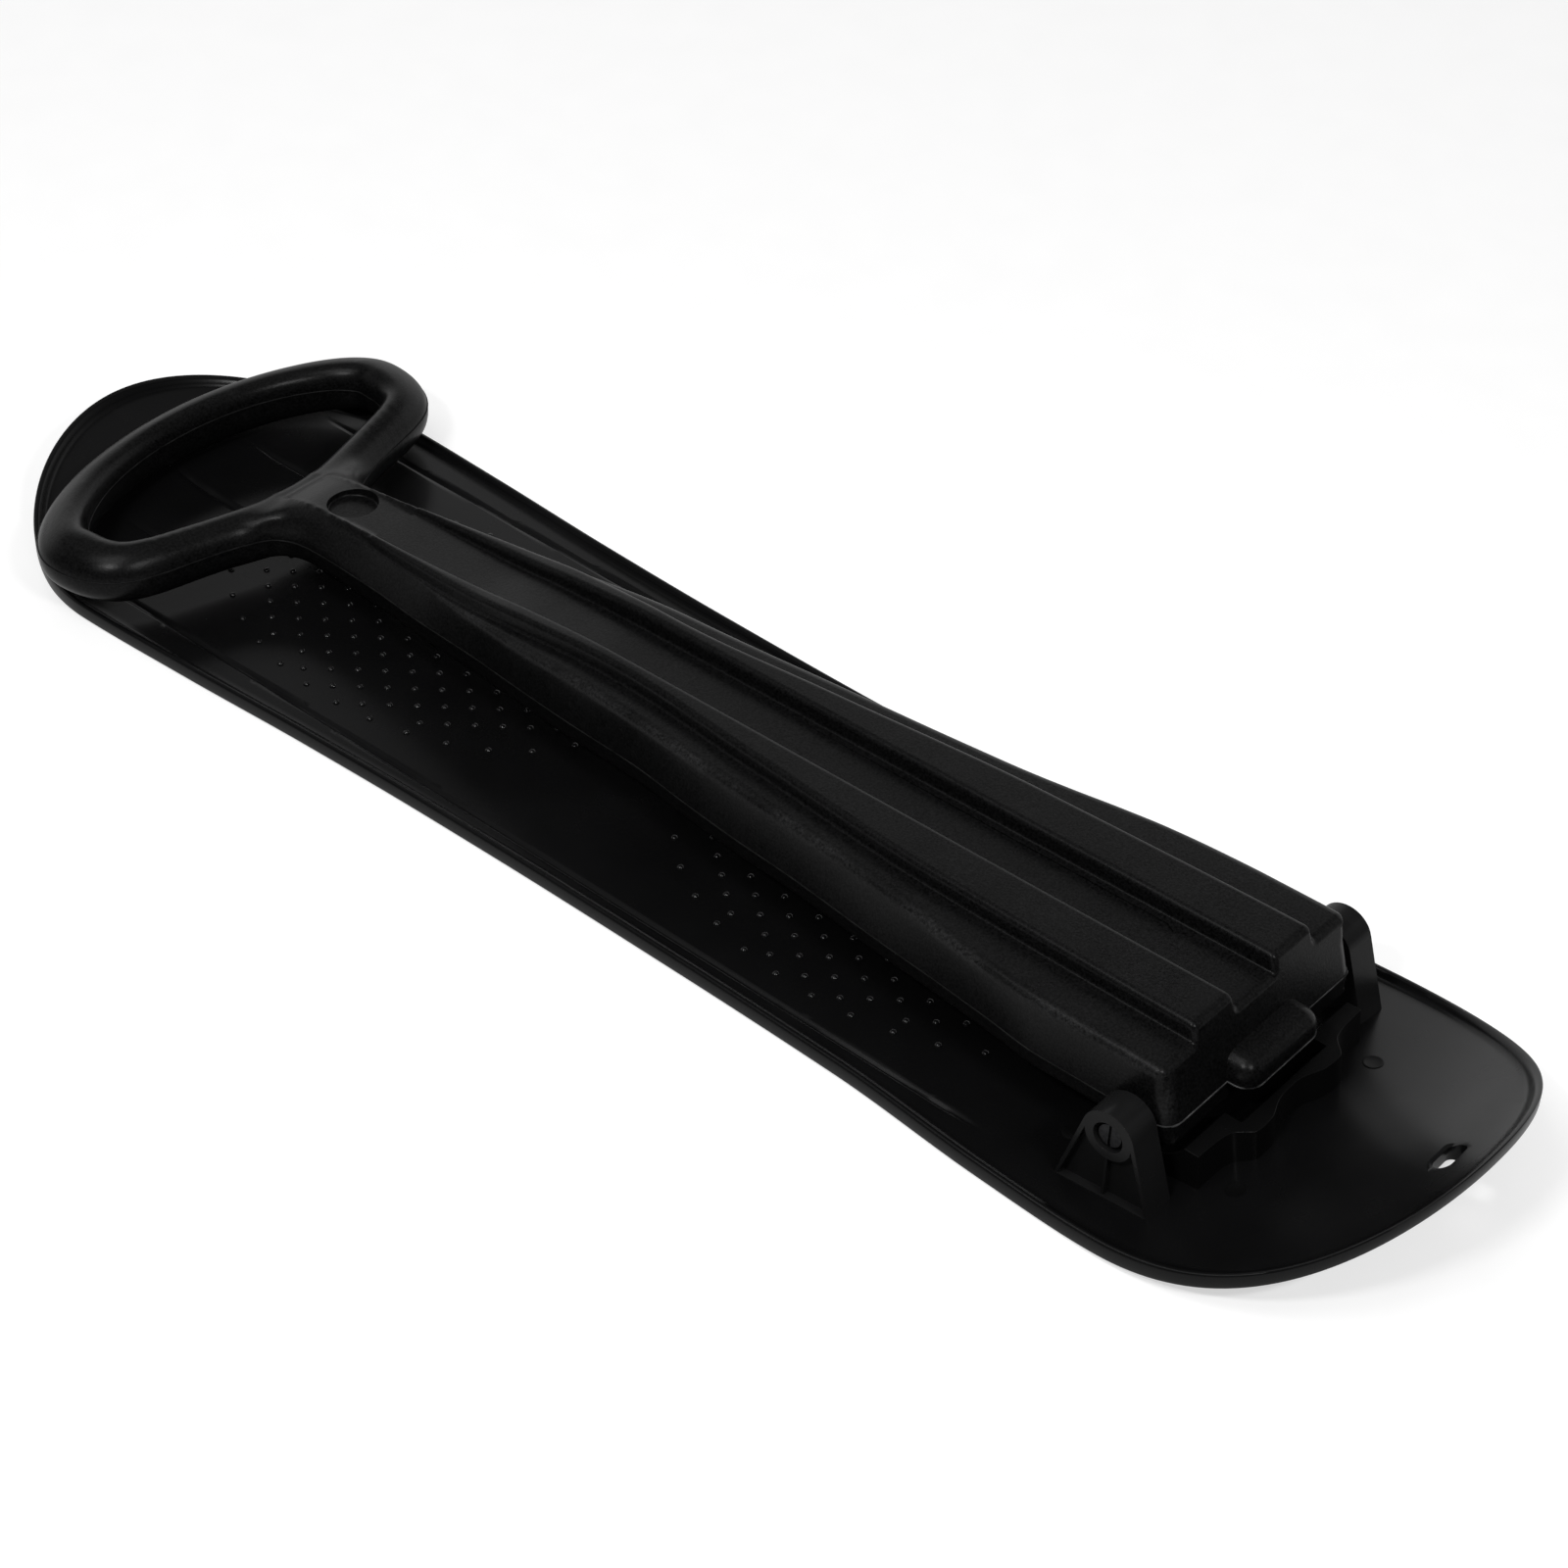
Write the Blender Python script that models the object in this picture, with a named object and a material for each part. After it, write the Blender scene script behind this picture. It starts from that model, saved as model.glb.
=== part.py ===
"""Snow scooter: a moulded board with a folding handle that turns on two bolts between two ears.

Metres, +Z up. The board's flat underside is Z = 0, the nose points to -Y and the tail to +Y.
The origin is under the middle of the board. The handle is drawn folded down onto the board.
"""

import math

import bmesh
import bpy
from mathutils import Matrix, Vector

# Clearances
SEAT_GAP = 0.0003
SWING_GAP = 0.0006
CUT_OVERRUN = 0.004

# Board outline
BOARD_LENGTH = 0.950
WAIST_HALF_WIDTH = 0.1127
TAIL_HALF_WIDTH = 0.1240
NOSE_HALF_WIDTH = 0.1232
TAIL_END_LENGTH = 0.1177
NOSE_END_LENGTH = 0.1314
TAIL_END_POWER = 1.95
NOSE_END_POWER = 2.17
END_STEPS = 14
SIDE_STEPS = 30

# Board section
PLATE_THICKNESS = 0.005
RIM_CREST = 0.0042
RIM_WIDTH = 0.0080
EDGE_ROUND = 0.0013

# Board profile
TAIL_KICK_LENGTH = 0.0893
TAIL_KICK_RISE = 0.0256
TAIL_KICK_POWER = 1.9
NOSE_KICK_LENGTH = 0.1804
NOSE_KICK_RISE = 0.061
NOSE_KICK_POWER = 3.1
NOSE_CROWN_RISE = 0.007
NOSE_CROWN_START = 0.2836
NOSE_CROWN_LENGTH = 0.080

# Grooves in the top of the board
GROOVE_WIDTH = 0.0040
GROOVE_DEPTH = 0.0015
GROOVE_TAPER = 0.020
SIDE_GROOVE_X = 0.0990
SIDE_GROOVE_NOSE_END = 0.2630
SIDE_GROOVE_TAIL_END = 0.3985
TAIL_GROOVE_X = 0.0500
TAIL_GROOVE_START = 0.3320
TAIL_GROOVE_END = 0.4170
MIDDLE_GROOVE_END = 0.4560

# Rope hole in the nose
ROPE_HOLE_FROM_NOSE = 0.0243
ROPE_HOLE_LENGTH = 0.020
ROPE_HOLE_WIDTH = 0.009

# Handle pivot, between the ears
PIVOT_FROM_NOSE = 0.1467
PIVOT_HEIGHT = 0.0462

# Ears
EAR_GAP_TO_FOOT = 0.0034
EAR_THICKNESS = 0.0183
EAR_TOP_RADIUS = 0.0146
EAR_BASE_HALF_LENGTH = 0.0275
EAR_POCKET_DEPTH = 0.0045
EAR_STRIP = 0.0025
EAR_BOSS_RADIUS = 0.0132
EAR_RIB_WIDTH = 0.0015
EAR_RIB_HEIGHT = 0.0035
COUNTERBORE_RADIUS = 0.0083
COUNTERBORE_DEPTH = 0.0055

# Platform under the foot of the handle, and the narrower rest behind it
PLATFORM_TOP = 0.0325
PLATFORM_REACH = 0.0421
PLATFORM_REAR = 0.0225
PLATFORM_HALF_WIDTH = 0.0670
PLATFORM_DRAFT = 0.0025
REST_REAR = 0.0400
REST_HALF_WIDTH = 0.0420

# Handle foot and body
FOOT_HALF_WIDTH = 0.0753
FOOT_BOTTOM_DRAFT = 0.0025
FOOT_END = 0.0194
FOOT_TOP_SETBACK = 0.0091
FOOT_END_ROUND = 0.0030
HANDLE_LENGTH = 0.7635
RIB_RISE = 0.0401
RIB_STEP = 0.0087
RIB_INNER_HALF_WIDTH = 0.0155
RIB_DRAFT = 0.0012
RIB_ROUND = 0.0020
SHOULDER_ROUND = 0.0050
BOTTOM_ROUND = 0.0040
BODY_STEPS = 44

# Bump on the end of the foot
BUMP_REACH = 0.0323
BUMP_HALF_WIDTH = 0.0300
BUMP_RISE = 0.0138
BUMP_ROUND = 0.0095
BUMP_ROUND_STEPS = 4

# Round recess at the neck
RECESS_RADIUS = 0.0145
RECESS_DEPTH = 0.0050
RECESS_FROM_PIVOT = 0.5959

# Grip ring
RING_HALF_WIDTH = 0.1312
RING_LENGTH = 0.1282
RING_HEIGHT = 0.0330
RING_REAR_DROP = 0.0050
RING_DROP_START = 0.60
RING_TUBE_HALF_WIDTH = 0.0160
RING_TUBE_HALF_HEIGHT = 0.0152
RING_TUBE_SLOPE_SHARE = 0.25
RING_TUBE_DEEPER_BELOW = 1.12
RING_TUBE_POWER = 2.2
RING_STEPS = 60
TUBE_STEPS = 16

# Fasteners
BOLT_RADIUS = 0.0040
BOLT_HEAD_RADIUS = 0.00665
BOLT_HEAD_HEIGHT = 0.0022
BOLT_SLOT_WIDTH = 0.0016
BOLT_SLOT_DEPTH = 0.0011
BOLT_GRIP = 0.0190
WASHER_RADIUS = 0.0078
WASHER_THICKNESS = 0.0010
BUSH_RADIUS = 0.0060
BUSH_FLANGE_RADIUS = 0.0090
INSERT_RADIUS = 0.0080
INSERT_LENGTH = 0.0240
ROUND_STEPS = 40

# Points of the half section from the foot of a rib to the middle of the channel
RIB_POINTS = 6

# Worked out from the sizes above
HALF_LENGTH = BOARD_LENGTH / 2
PIVOT_Y = PIVOT_FROM_NOSE - HALF_LENGTH
EAR_INNER_X = FOOT_HALF_WIDTH + EAR_GAP_TO_FOOT
EAR_OUTER_X = EAR_INNER_X + EAR_THICKNESS
FOOT_BOTTOM = PLATFORM_TOP + SEAT_GAP
FOOT_DEPTH = PIVOT_HEIGHT - FOOT_BOTTOM
FOOT_LEAN_RISE = RIB_RISE - RIB_STEP
FOOT_DIP_SHARE = (FOOT_END - FOOT_DEPTH + SWING_GAP) / FOOT_TOP_SETBACK
FOOT_DIP_RADIUS = math.hypot(FOOT_DEPTH, FOOT_LEAN_RISE * max(0.0, FOOT_DIP_SHARE))
WELL_RADIUS = max(math.hypot(FOOT_END, FOOT_DEPTH), FOOT_DIP_RADIUS) + SWING_GAP
POCKET_RADIUS = math.hypot(BUMP_REACH, BUMP_RISE) + SWING_GAP
RING_TOP_Y = PIVOT_Y + HANDLE_LENGTH
NECK_BOTTOM = RING_HEIGHT - RING_TUBE_HALF_HEIGHT * 0.85
COUNTERBORE_FLOOR_X = EAR_OUTER_X - COUNTERBORE_DEPTH
BORE_CLEAR_RADIUS = BOLT_RADIUS + SEAT_GAP

# How far the side of the board stands out from its waist, from the tail end to the nose end,
# as shares of the full flare
FLARE_SHARES = (
    (0.0, 1.0), (0.114, 0.758), (0.246, 0.327), (0.376, 0.080), (0.506, 0.0),
    (0.638, 0.030), (0.768, 0.169), (0.899, 0.775), (1.0, 1.0),
)
WAIST_SHARE = 0.506

# Front edge of the platform: across as shares of its half width, forward as shares of its reach
PLATFORM_FRONT_SHARES = (
    (0.0, 0.857), (0.09, 0.862), (0.20, 0.907), (0.31, 0.979), (0.43, 1.0), (0.52, 0.986),
    (0.58, 0.895), (0.65, 0.793), (0.78, 0.753), (1.0, 0.741),
)

# Handle widths as shares of the foot's half width, by shares of the handle's length from the pivot
PARTING_SHARES = (
    (-0.03, 1.0), (0.074, 1.0), (0.118, 0.948), (0.166, 0.894), (0.214, 0.848), (0.301, 0.748),
    (0.349, 0.711), (0.400, 0.653), (0.451, 0.587), (0.508, 0.556), (0.562, 0.514), (0.616, 0.462),
    (0.670, 0.429), (0.727, 0.372), (0.778, 0.353), (0.800, 0.359), (0.814, 0.413), (0.824, 0.508),
    (0.829, 0.660), (0.842, 0.700),
)
SHOULDER_SHARES = (
    (-0.03, 0.985), (0.043, 0.982), (0.081, 0.970), (0.118, 0.945), (0.154, 0.896), (0.189, 0.835),
    (0.226, 0.780), (0.264, 0.742), (0.304, 0.705), (0.344, 0.672), (0.385, 0.638), (0.428, 0.600),
    (0.480, 0.560), (0.529, 0.530), (0.581, 0.485), (0.638, 0.405), (0.697, 0.310), (0.760, 0.272),
    (0.790, 0.280), (0.814, 0.320), (0.829, 0.480), (0.842, 0.560),
)
RIB_OUTER_SHARES = (
    (-0.03, 0.638), (0.193, 0.590), (0.360, 0.460), (0.493, 0.358), (0.589, 0.368), (0.640, 0.350),
    (0.709, 0.292), (0.766, 0.238), (0.842, 0.238),
)
RIB_TOP_SHARES = (
    (-0.03, 1.0), (0.193, 0.985), (0.502, 0.975), (0.583, 0.888), (0.634, 0.788), (0.697, 0.696),
    (0.766, 0.603), (0.805, 0.530), (0.824, 0.445), (0.842, 0.330),
)
# Depth of the steps beside and between the ribs, as shares of the rib step
SHOULDER_STEP_SHARES = ((-0.03, 1.0), (0.64, 1.0), (0.74, 0.75), (0.80, 0.35), (0.842, 0.20))
CHANNEL_STEP_SHARES = ((-0.03, 1.0), (0.50, 1.0), (0.62, 0.75), (0.74, 0.30), (0.80, 0.10), (0.842, 0.10))

# Centre of the grip ring's tube: across as shares of the ring's half width, back from the ring's
# top as shares of its length, and the tube's half width as a share of its widest
RING_SHARES = (
    (0.0, 0.089, 0.71), (0.205, 0.102, 0.71), (0.437, 0.151, 0.74), (0.639, 0.235, 0.79),
    (0.800, 0.344, 0.86), (0.891, 0.468, 0.94), (0.896, 0.566, 1.0), (0.878, 0.670, 0.94),
    (0.814, 0.768, 0.83), (0.678, 0.830, 0.74), (0.508, 0.875, 0.74), (0.305, 0.938, 0.76),
    (0.153, 0.973, 0.75), (0.0, 0.989, 0.75),
)
# The body ends inside the grip's tube, at this share of the ring's length back from its top
BODY_END_BACK_SHARE = 0.965
BODY_END_SHARE = 1 - BODY_END_BACK_SHARE * RING_LENGTH / HANDLE_LENGTH

# Colours as red, green, blue; then roughness and metallic
BLACK_GLOSS = ((0.012, 0.012, 0.013), 0.28, 0.0)
BLACK_SATIN = ((0.012, 0.012, 0.013), 0.48, 0.0)
ZINC_STEEL = ((0.56, 0.57, 0.58), 0.32, 1.0)
DARK_NYLON = ((0.030, 0.030, 0.032), 0.5, 0.0)
BRASS = ((0.65, 0.48, 0.22), 0.35, 1.0)


def smooth_table(table, place):
    """Value at a place in a table of (place, value) rows, on a smooth curve through the rows."""
    places = [row[0] for row in table]
    values = [row[1] for row in table]
    if place <= places[0]:
        return values[0]
    if place >= places[-1]:
        return values[-1]
    last = len(table) - 1
    i = max(k for k in range(last) if places[k] <= place)
    slopes = []
    for k in (i, i + 1):
        if k in (0, last):
            slopes.append(0.0)
            continue
        before = (values[k] - values[k - 1]) / (places[k] - places[k - 1])
        after = (values[k + 1] - values[k]) / (places[k + 1] - places[k])
        slopes.append(0.0 if before * after <= 0 else 2 * before * after / (before + after))
    span = places[i + 1] - places[i]
    t = (place - places[i]) / span
    rise = values[i + 1] - values[i]
    start, end = slopes[0] * span, slopes[1] * span
    return values[i] + t * start + t * t * (3 * rise - 2 * start - end) + t ** 3 * (start + end - 2 * rise)


def smooth_step(t):
    """0 before the start, 1 after the end, and a smooth rise between."""
    t = min(1.0, max(0.0, t))
    return t * t * (3 - 2 * t)


def make_material(name, finish):
    """Plain Principled material in one colour."""
    colour, roughness, metallic = finish
    material = bpy.data.materials.new(name)
    material.use_nodes = True
    shader = material.node_tree.nodes["Principled BSDF"]
    shader.inputs["Base Color"].default_value = (*colour, 1.0)
    shader.inputs["Roughness"].default_value = roughness
    shader.inputs["Metallic"].default_value = metallic
    return material


def make_object(name, points, faces, material=None, smooth_angle=35):
    """Object from points and faces, with its faces turned outwards."""
    mesh = bpy.data.meshes.new(name)
    mesh.from_pydata([tuple(point) for point in points], [], faces)
    work = bmesh.new()
    work.from_mesh(mesh)
    bmesh.ops.recalc_face_normals(work, faces=work.faces)
    work.to_mesh(mesh)
    work.free()
    mesh.shade_smooth()
    mesh.set_sharp_from_angle(angle=math.radians(smooth_angle))
    if material:
        mesh.materials.append(material)
    obj = bpy.data.objects.new(name, mesh)
    bpy.context.scene.collection.objects.link(obj)
    return obj


def combine(target, tool, operation):
    """Joins a tool to the target or cuts it away, and leaves the tool as a hidden guide."""
    boolean = target.modifiers.new(f"{operation.lower()} {tool.name}", "BOOLEAN")
    boolean.operation = operation
    boolean.object = tool
    tool.hide_render = True
    tool.display_type = "WIRE"


def loft(rings, closed=False):
    """Points and faces of a skin over rings of equal count, with flat ends unless it is closed."""
    count = len(rings[0])
    points = [point for ring in rings for point in ring]
    faces = []
    spans = len(rings) if closed else len(rings) - 1
    for i in range(spans):
        here = i * count
        there = (i + 1) % len(rings) * count
        for k in range(count):
            after = (k + 1) % count
            faces.append((here + k, here + after, there + after, there + k))
    if not closed:
        faces.append(tuple(reversed(range(count))))
        faces.append(tuple(range(len(points) - count, len(points))))
    return points, faces


def circle(x, y, z, radius):
    """Ring of points about a line along X."""
    turns = [2 * math.pi * k / ROUND_STEPS for k in range(ROUND_STEPS)]
    return [Vector((x, y + radius * math.cos(turn), z + radius * math.sin(turn))) for turn in turns]


def turned(name, profile, material=None):
    """Solid turned about the pivot axis from (x, radius) steps round its wall; the steps close up."""
    rings = [circle(x, PIVOT_Y, PIVOT_HEIGHT, radius) for x, radius in profile]
    return make_object(name, *loft(rings, closed=True), material)


def stepped_rod(name, steps, material=None):
    """Round bar about the pivot axis from (x, radius) steps along it, with flat ends."""
    rings = [circle(x, PIVOT_Y, PIVOT_HEIGHT, radius) for x, radius in steps]
    return make_object(name, *loft(rings), material)


def rod(name, start_x, end_x, radius, material=None):
    """Plain round bar about the pivot axis."""
    return stepped_rod(name, ((start_x, radius), (end_x, radius)), material)


def block(name, low, high, material=None):
    """Box between two corners."""
    points = [(x, y, z) for x in (low[0], high[0]) for y in (low[1], high[1]) for z in (low[2], high[2])]
    faces = [(0, 1, 3, 2), (4, 6, 7, 5), (0, 4, 5, 1), (2, 3, 7, 6), (0, 2, 6, 4), (1, 5, 7, 3)]
    return make_object(name, points, faces, material)


def board_half_width(y):
    """Half width of the board between its two rounded ends."""
    tail_start = HALF_LENGTH - TAIL_END_LENGTH
    share = (tail_start - y) / (BOARD_LENGTH - TAIL_END_LENGTH - NOSE_END_LENGTH)
    widest = TAIL_HALF_WIDTH if share < WAIST_SHARE else NOSE_HALF_WIDTH
    return WAIST_HALF_WIDTH + (widest - WAIST_HALF_WIDTH) * smooth_table(FLARE_SHARES, share)


def ground(x, y):
    """Height of the underside: flat in the middle, kicked up at both ends, crowned at the nose."""
    tail = max(0.0, y - HALF_LENGTH + TAIL_KICK_LENGTH) / TAIL_KICK_LENGTH
    nose = max(0.0, NOSE_KICK_LENGTH - HALF_LENGTH - y) / NOSE_KICK_LENGTH
    kick = TAIL_KICK_RISE * tail ** TAIL_KICK_POWER + NOSE_KICK_RISE * nose ** NOSE_KICK_POWER
    past_end = max(0.0, NOSE_END_LENGTH - HALF_LENGTH - y) / NOSE_END_LENGTH
    spread = (x / NOSE_HALF_WIDTH) ** 2 + past_end ** 2
    crown = NOSE_CROWN_RISE * smooth_step((-y - NOSE_CROWN_START) / NOSE_CROWN_LENGTH)
    return kick + crown * max(0.0, 1 - spread)


def board_outline():
    """Right side of the board's outline from the tail's tip to the nose's tip, both left out."""
    side = []
    for k in range(1, END_STEPS + 1):
        turn = math.pi / 2 * (1 - k / END_STEPS)
        power = 2 / TAIL_END_POWER
        across = TAIL_HALF_WIDTH * math.cos(turn) ** power
        side.append((across, HALF_LENGTH - TAIL_END_LENGTH * (1 - math.sin(turn) ** power)))
    start = HALF_LENGTH - TAIL_END_LENGTH
    run = BOARD_LENGTH - TAIL_END_LENGTH - NOSE_END_LENGTH
    for k in range(1, SIDE_STEPS):
        y = start - run * k / SIDE_STEPS
        side.append((board_half_width(y), y))
    for k in range(END_STEPS):
        turn = math.pi / 2 * k / END_STEPS
        power = 2 / NOSE_END_POWER
        across = NOSE_HALF_WIDTH * math.cos(turn) ** power
        side.append((across, NOSE_END_LENGTH * (1 - math.sin(turn) ** power) - HALF_LENGTH))
    return side


def inset_outline(loop, distance):
    """The closed outline moved inwards by a distance, point by point."""
    moved = []
    for i, (x, y) in enumerate(loop):
        before, after = loop[i - 1], loop[(i + 1) % len(loop)]
        along = Vector((after[0] - before[0], after[1] - before[1])).normalized()
        moved.append((x + along.y * distance, y - along.x * distance))
    return moved


def groove_depth(x, y):
    """How deep the top of the board is sunk by its grooves at a place."""
    def run(start, end):
        return smooth_step((y - start) / GROOVE_TAPER) * smooth_step((end - y) / GROOVE_TAPER)

    rows = (
        (0.0, TAIL_GROOVE_START, MIDDLE_GROOVE_END),
        (TAIL_GROOVE_X, TAIL_GROOVE_START, TAIL_GROOVE_END),
        (SIDE_GROOVE_X, -SIDE_GROOVE_NOSE_END, SIDE_GROOVE_TAIL_END),
    )
    depth = 0.0
    for place, start, end in rows:
        across = 1 - abs(abs(x) - place) / (GROOVE_WIDTH / 2)
        depth = max(depth, GROOVE_DEPTH * max(0.0, across) * run(start, end))
    return depth


def column_places():
    """Places across half the top of the board: the middle, each groove's three lines, and between."""
    half = GROOVE_WIDTH / 2
    between_inner = TAIL_GROOVE_X / 2
    between_outer = (TAIL_GROOVE_X + SIDE_GROOVE_X) / 2
    return [
        0.0, half, between_inner, TAIL_GROOVE_X - half, TAIL_GROOVE_X, TAIL_GROOVE_X + half,
        between_outer, SIDE_GROOVE_X - half, SIDE_GROOVE_X, SIDE_GROOVE_X + half,
    ]


def fill_rows(loop, height, places):
    """Points and faces that close a symmetric outline, row by row from tail tip to nose tip.

    The outline starts at the tail's tip, runs down the right side and comes back up the left one.
    New points are returned with faces that name outline points by ("loop", k) and new ones by number.
    """
    pairs = len(loop) // 2 - 1
    widest = min(WAIST_HALF_WIDTH, TAIL_HALF_WIDTH, NOSE_HALF_WIDTH) - RIM_WIDTH
    points, rows = [], []
    for i in range(1, pairs + 1):
        half, y = loop[i]
        squeeze = min(1.0, half / widest)
        across = [place * squeeze for place in places]
        row = [("loop", len(loop) - i)]
        for x in [-a for a in reversed(across) if a] + across:
            row.append(len(points))
            points.append(Vector((x, y, height(x, y))))
        row.append(("loop", i))
        rows.append(row)
    faces = []
    tail, nose = ("loop", 0), ("loop", pairs + 1)
    for first, second in zip(rows[0], rows[0][1:]):
        faces.append((tail, first, second))
        faces.append(tuple(reversed((nose, *rows[-1][rows[0].index(first):rows[0].index(second) + 1]))))
    for upper, lower in zip(rows, rows[1:]):
        for k in range(len(upper) - 1):
            faces.append((upper[k], lower[k], lower[k + 1], upper[k + 1]))
    return points, faces


def make_plate(material):
    """The board itself: a plate with a raised rim, kicked ends and grooves."""
    right = board_outline()
    left = [(-x, y) for x, y in reversed(right)]
    outline = [(0.0, HALF_LENGTH), *right, (0.0, -HALF_LENGTH), *left]
    rim_top = PLATE_THICKNESS + RIM_CREST
    steps = (
        (EDGE_ROUND, 0.0), (0.0, EDGE_ROUND), (0.0, rim_top - EDGE_ROUND), (EDGE_ROUND, rim_top),
        (RIM_WIDTH * 0.45, rim_top - RIM_CREST * 0.2),
        (RIM_WIDTH * 0.7, PLATE_THICKNESS + RIM_CREST * 0.15), (RIM_WIDTH, PLATE_THICKNESS),
    )
    loops = [inset_outline(outline, distance) for distance, _ in steps]
    count = len(outline)
    points = []
    for loop, (_, height) in zip(loops, steps):
        points.extend(Vector((x, y, ground(x, y) + height)) for x, y in loop)
    faces = []
    for i in range(len(loops) - 1):
        for k in range(count):
            after = (k + 1) % count
            faces.append((i * count + k, i * count + after, (i + 1) * count + after, (i + 1) * count + k))

    def top(x, y):
        return ground(x, y) + PLATE_THICKNESS - groove_depth(x, y)

    under_places = [0.0, WAIST_HALF_WIDTH / 3, WAIST_HALF_WIDTH * 2 / 3]
    for level, height, places in ((len(loops) - 1, top, column_places()), (0, ground, under_places)):
        offset = len(points)
        new_points, new_faces = fill_rows(loops[level], height, places)
        points.extend(new_points)
        for face in new_faces:
            faces.append(tuple(level * count + v[1] if isinstance(v, tuple) else offset + v for v in face))
    return make_object("deck", points, faces, material)


def tangent_point(centre, radius, outside, side):
    """Where a line from an outside point touches a circle; side picks which of the two touches."""
    span = outside - centre
    turn = side * math.acos(radius / span.length)
    direction = Matrix.Rotation(turn, 2) @ span.normalized()
    return centre + direction * radius


def ear_profile(radius, base_half_length, x):
    """Arch outline in the YZ plane: a round top on the pivot and straight legs down into the plate."""
    centre = Vector((PIVOT_Y, PIVOT_HEIGHT))
    feet = []
    for side in (-1, 1):
        y = PIVOT_Y + side * base_half_length
        feet.append(Vector((y, ground(x, y) + PLATE_THICKNESS / 2)))
    front = tangent_point(centre, radius, feet[0], -1) - centre
    rear = tangent_point(centre, radius, feet[1], 1) - centre
    start, end = math.atan2(front.y, front.x), math.atan2(rear.y, rear.x)
    if start < 0:
        start += 2 * math.pi
    arc_steps = ROUND_STEPS // 2
    arc = []
    for k in range(arc_steps + 1):
        turn = start + (end - start) * k / arc_steps
        arc.append(centre + Vector((math.cos(turn), math.sin(turn))) * radius)
    return [feet[0], *arc, feet[1]]


def extrude_x(name, profile, start_x, end_x, material=None):
    """A YZ outline drawn out along X."""
    rings = [[Vector((x, point.x, point.y)) for point in profile] for x in (start_x, end_x)]
    return make_object(name, *loft(rings), material)


def add_ear(deck, side):
    """One ear, with its boss, its recessed web and rib, the bush's bore and the bolt's counterbore."""
    label = "right" if side > 0 else "left"
    middle_x = (EAR_INNER_X + EAR_OUTER_X) / 2
    ear = extrude_x(
        f"ear_{label}", ear_profile(EAR_TOP_RADIUS, EAR_BASE_HALF_LENGTH, middle_x),
        side * EAR_INNER_X, side * EAR_OUTER_X)
    combine(deck, ear, "UNION")

    web_x = EAR_OUTER_X - EAR_POCKET_DEPTH
    pocket_profile = ear_profile(EAR_TOP_RADIUS - EAR_STRIP, EAR_BASE_HALF_LENGTH - EAR_STRIP, middle_x)
    for foot in (pocket_profile[0], pocket_profile[-1]):
        foot.y += PLATE_THICKNESS / 2 + SEAT_GAP
    pocket = extrude_x(
        f"ear_pocket_{label}", pocket_profile, side * web_x, side * (EAR_OUTER_X + CUT_OVERRUN))
    boss = rod(f"ear_boss_{label}", side * (web_x - CUT_OVERRUN), side * (EAR_OUTER_X + CUT_OVERRUN * 2),
               EAR_BOSS_RADIUS)
    rib_half = EAR_RIB_WIDTH / 2
    xs = sorted((side * (web_x - CUT_OVERRUN), side * (web_x + EAR_RIB_HEIGHT)))
    rib = block(f"ear_rib_{label}", (xs[0], PIVOT_Y - rib_half, -CUT_OVERRUN),
                (xs[1], PIVOT_Y + rib_half, PIVOT_HEIGHT))
    combine(pocket, boss, "DIFFERENCE")
    combine(pocket, rib, "DIFFERENCE")
    combine(deck, pocket, "DIFFERENCE")

    bore = stepped_rod(f"ear_bore_{label}", (
        (side * (EAR_INNER_X - CUT_OVERRUN), BUSH_RADIUS + SEAT_GAP),
        (side * COUNTERBORE_FLOOR_X, BUSH_RADIUS + SEAT_GAP),
        (side * COUNTERBORE_FLOOR_X, COUNTERBORE_RADIUS),
        (side * (EAR_OUTER_X + CUT_OVERRUN), COUNTERBORE_RADIUS)))
    combine(deck, bore, "DIFFERENCE")


def platform_ring(x):
    """Outline of the platform in YZ at one place across it, drafted outwards at its foot."""
    front = PIVOT_Y - PLATFORM_REACH * smooth_table(PLATFORM_FRONT_SHARES, abs(x) / PLATFORM_HALF_WIDTH)
    rear = PIVOT_Y + PLATFORM_REAR
    front_foot, rear_foot = front - PLATFORM_DRAFT, rear + PLATFORM_DRAFT
    sunk = PLATE_THICKNESS / 2
    return [
        Vector((x, rear, PLATFORM_TOP)), Vector((x, front, PLATFORM_TOP)),
        Vector((x, front_foot, ground(x, front_foot) + sunk)),
        Vector((x, rear_foot, ground(x, rear_foot) + sunk)),
    ]


def add_platform(deck):
    """Raised block between the ears that carries the foot, with the wells that the foot turns in."""
    side = []
    for (inner, _), (outer, _) in zip(PLATFORM_FRONT_SHARES, PLATFORM_FRONT_SHARES[1:]):
        side += [PLATFORM_HALF_WIDTH * inner, PLATFORM_HALF_WIDTH * (inner + outer) / 2]
    side.append(PLATFORM_HALF_WIDTH)
    columns = [-x for x in reversed(side[1:])] + side
    combine(deck, make_object("platform", *loft([platform_ring(x) for x in columns])), "UNION")
    low = ground(0.0, PIVOT_Y + REST_REAR) + PLATE_THICKNESS / 2
    rest = block("handle_rest", (-REST_HALF_WIDTH, PIVOT_Y, low),
                 (REST_HALF_WIDTH, PIVOT_Y + REST_REAR, PLATFORM_TOP))
    combine(deck, rest, "UNION")
    well_half = EAR_INNER_X - SWING_GAP
    combine(deck, rod("foot_well", -well_half, well_half, WELL_RADIUS), "DIFFERENCE")
    pocket_half = BUMP_HALF_WIDTH + BUMP_ROUND / 2
    combine(deck, rod("bump_pocket", -pocket_half, pocket_half, POCKET_RADIUS), "DIFFERENCE")


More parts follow.
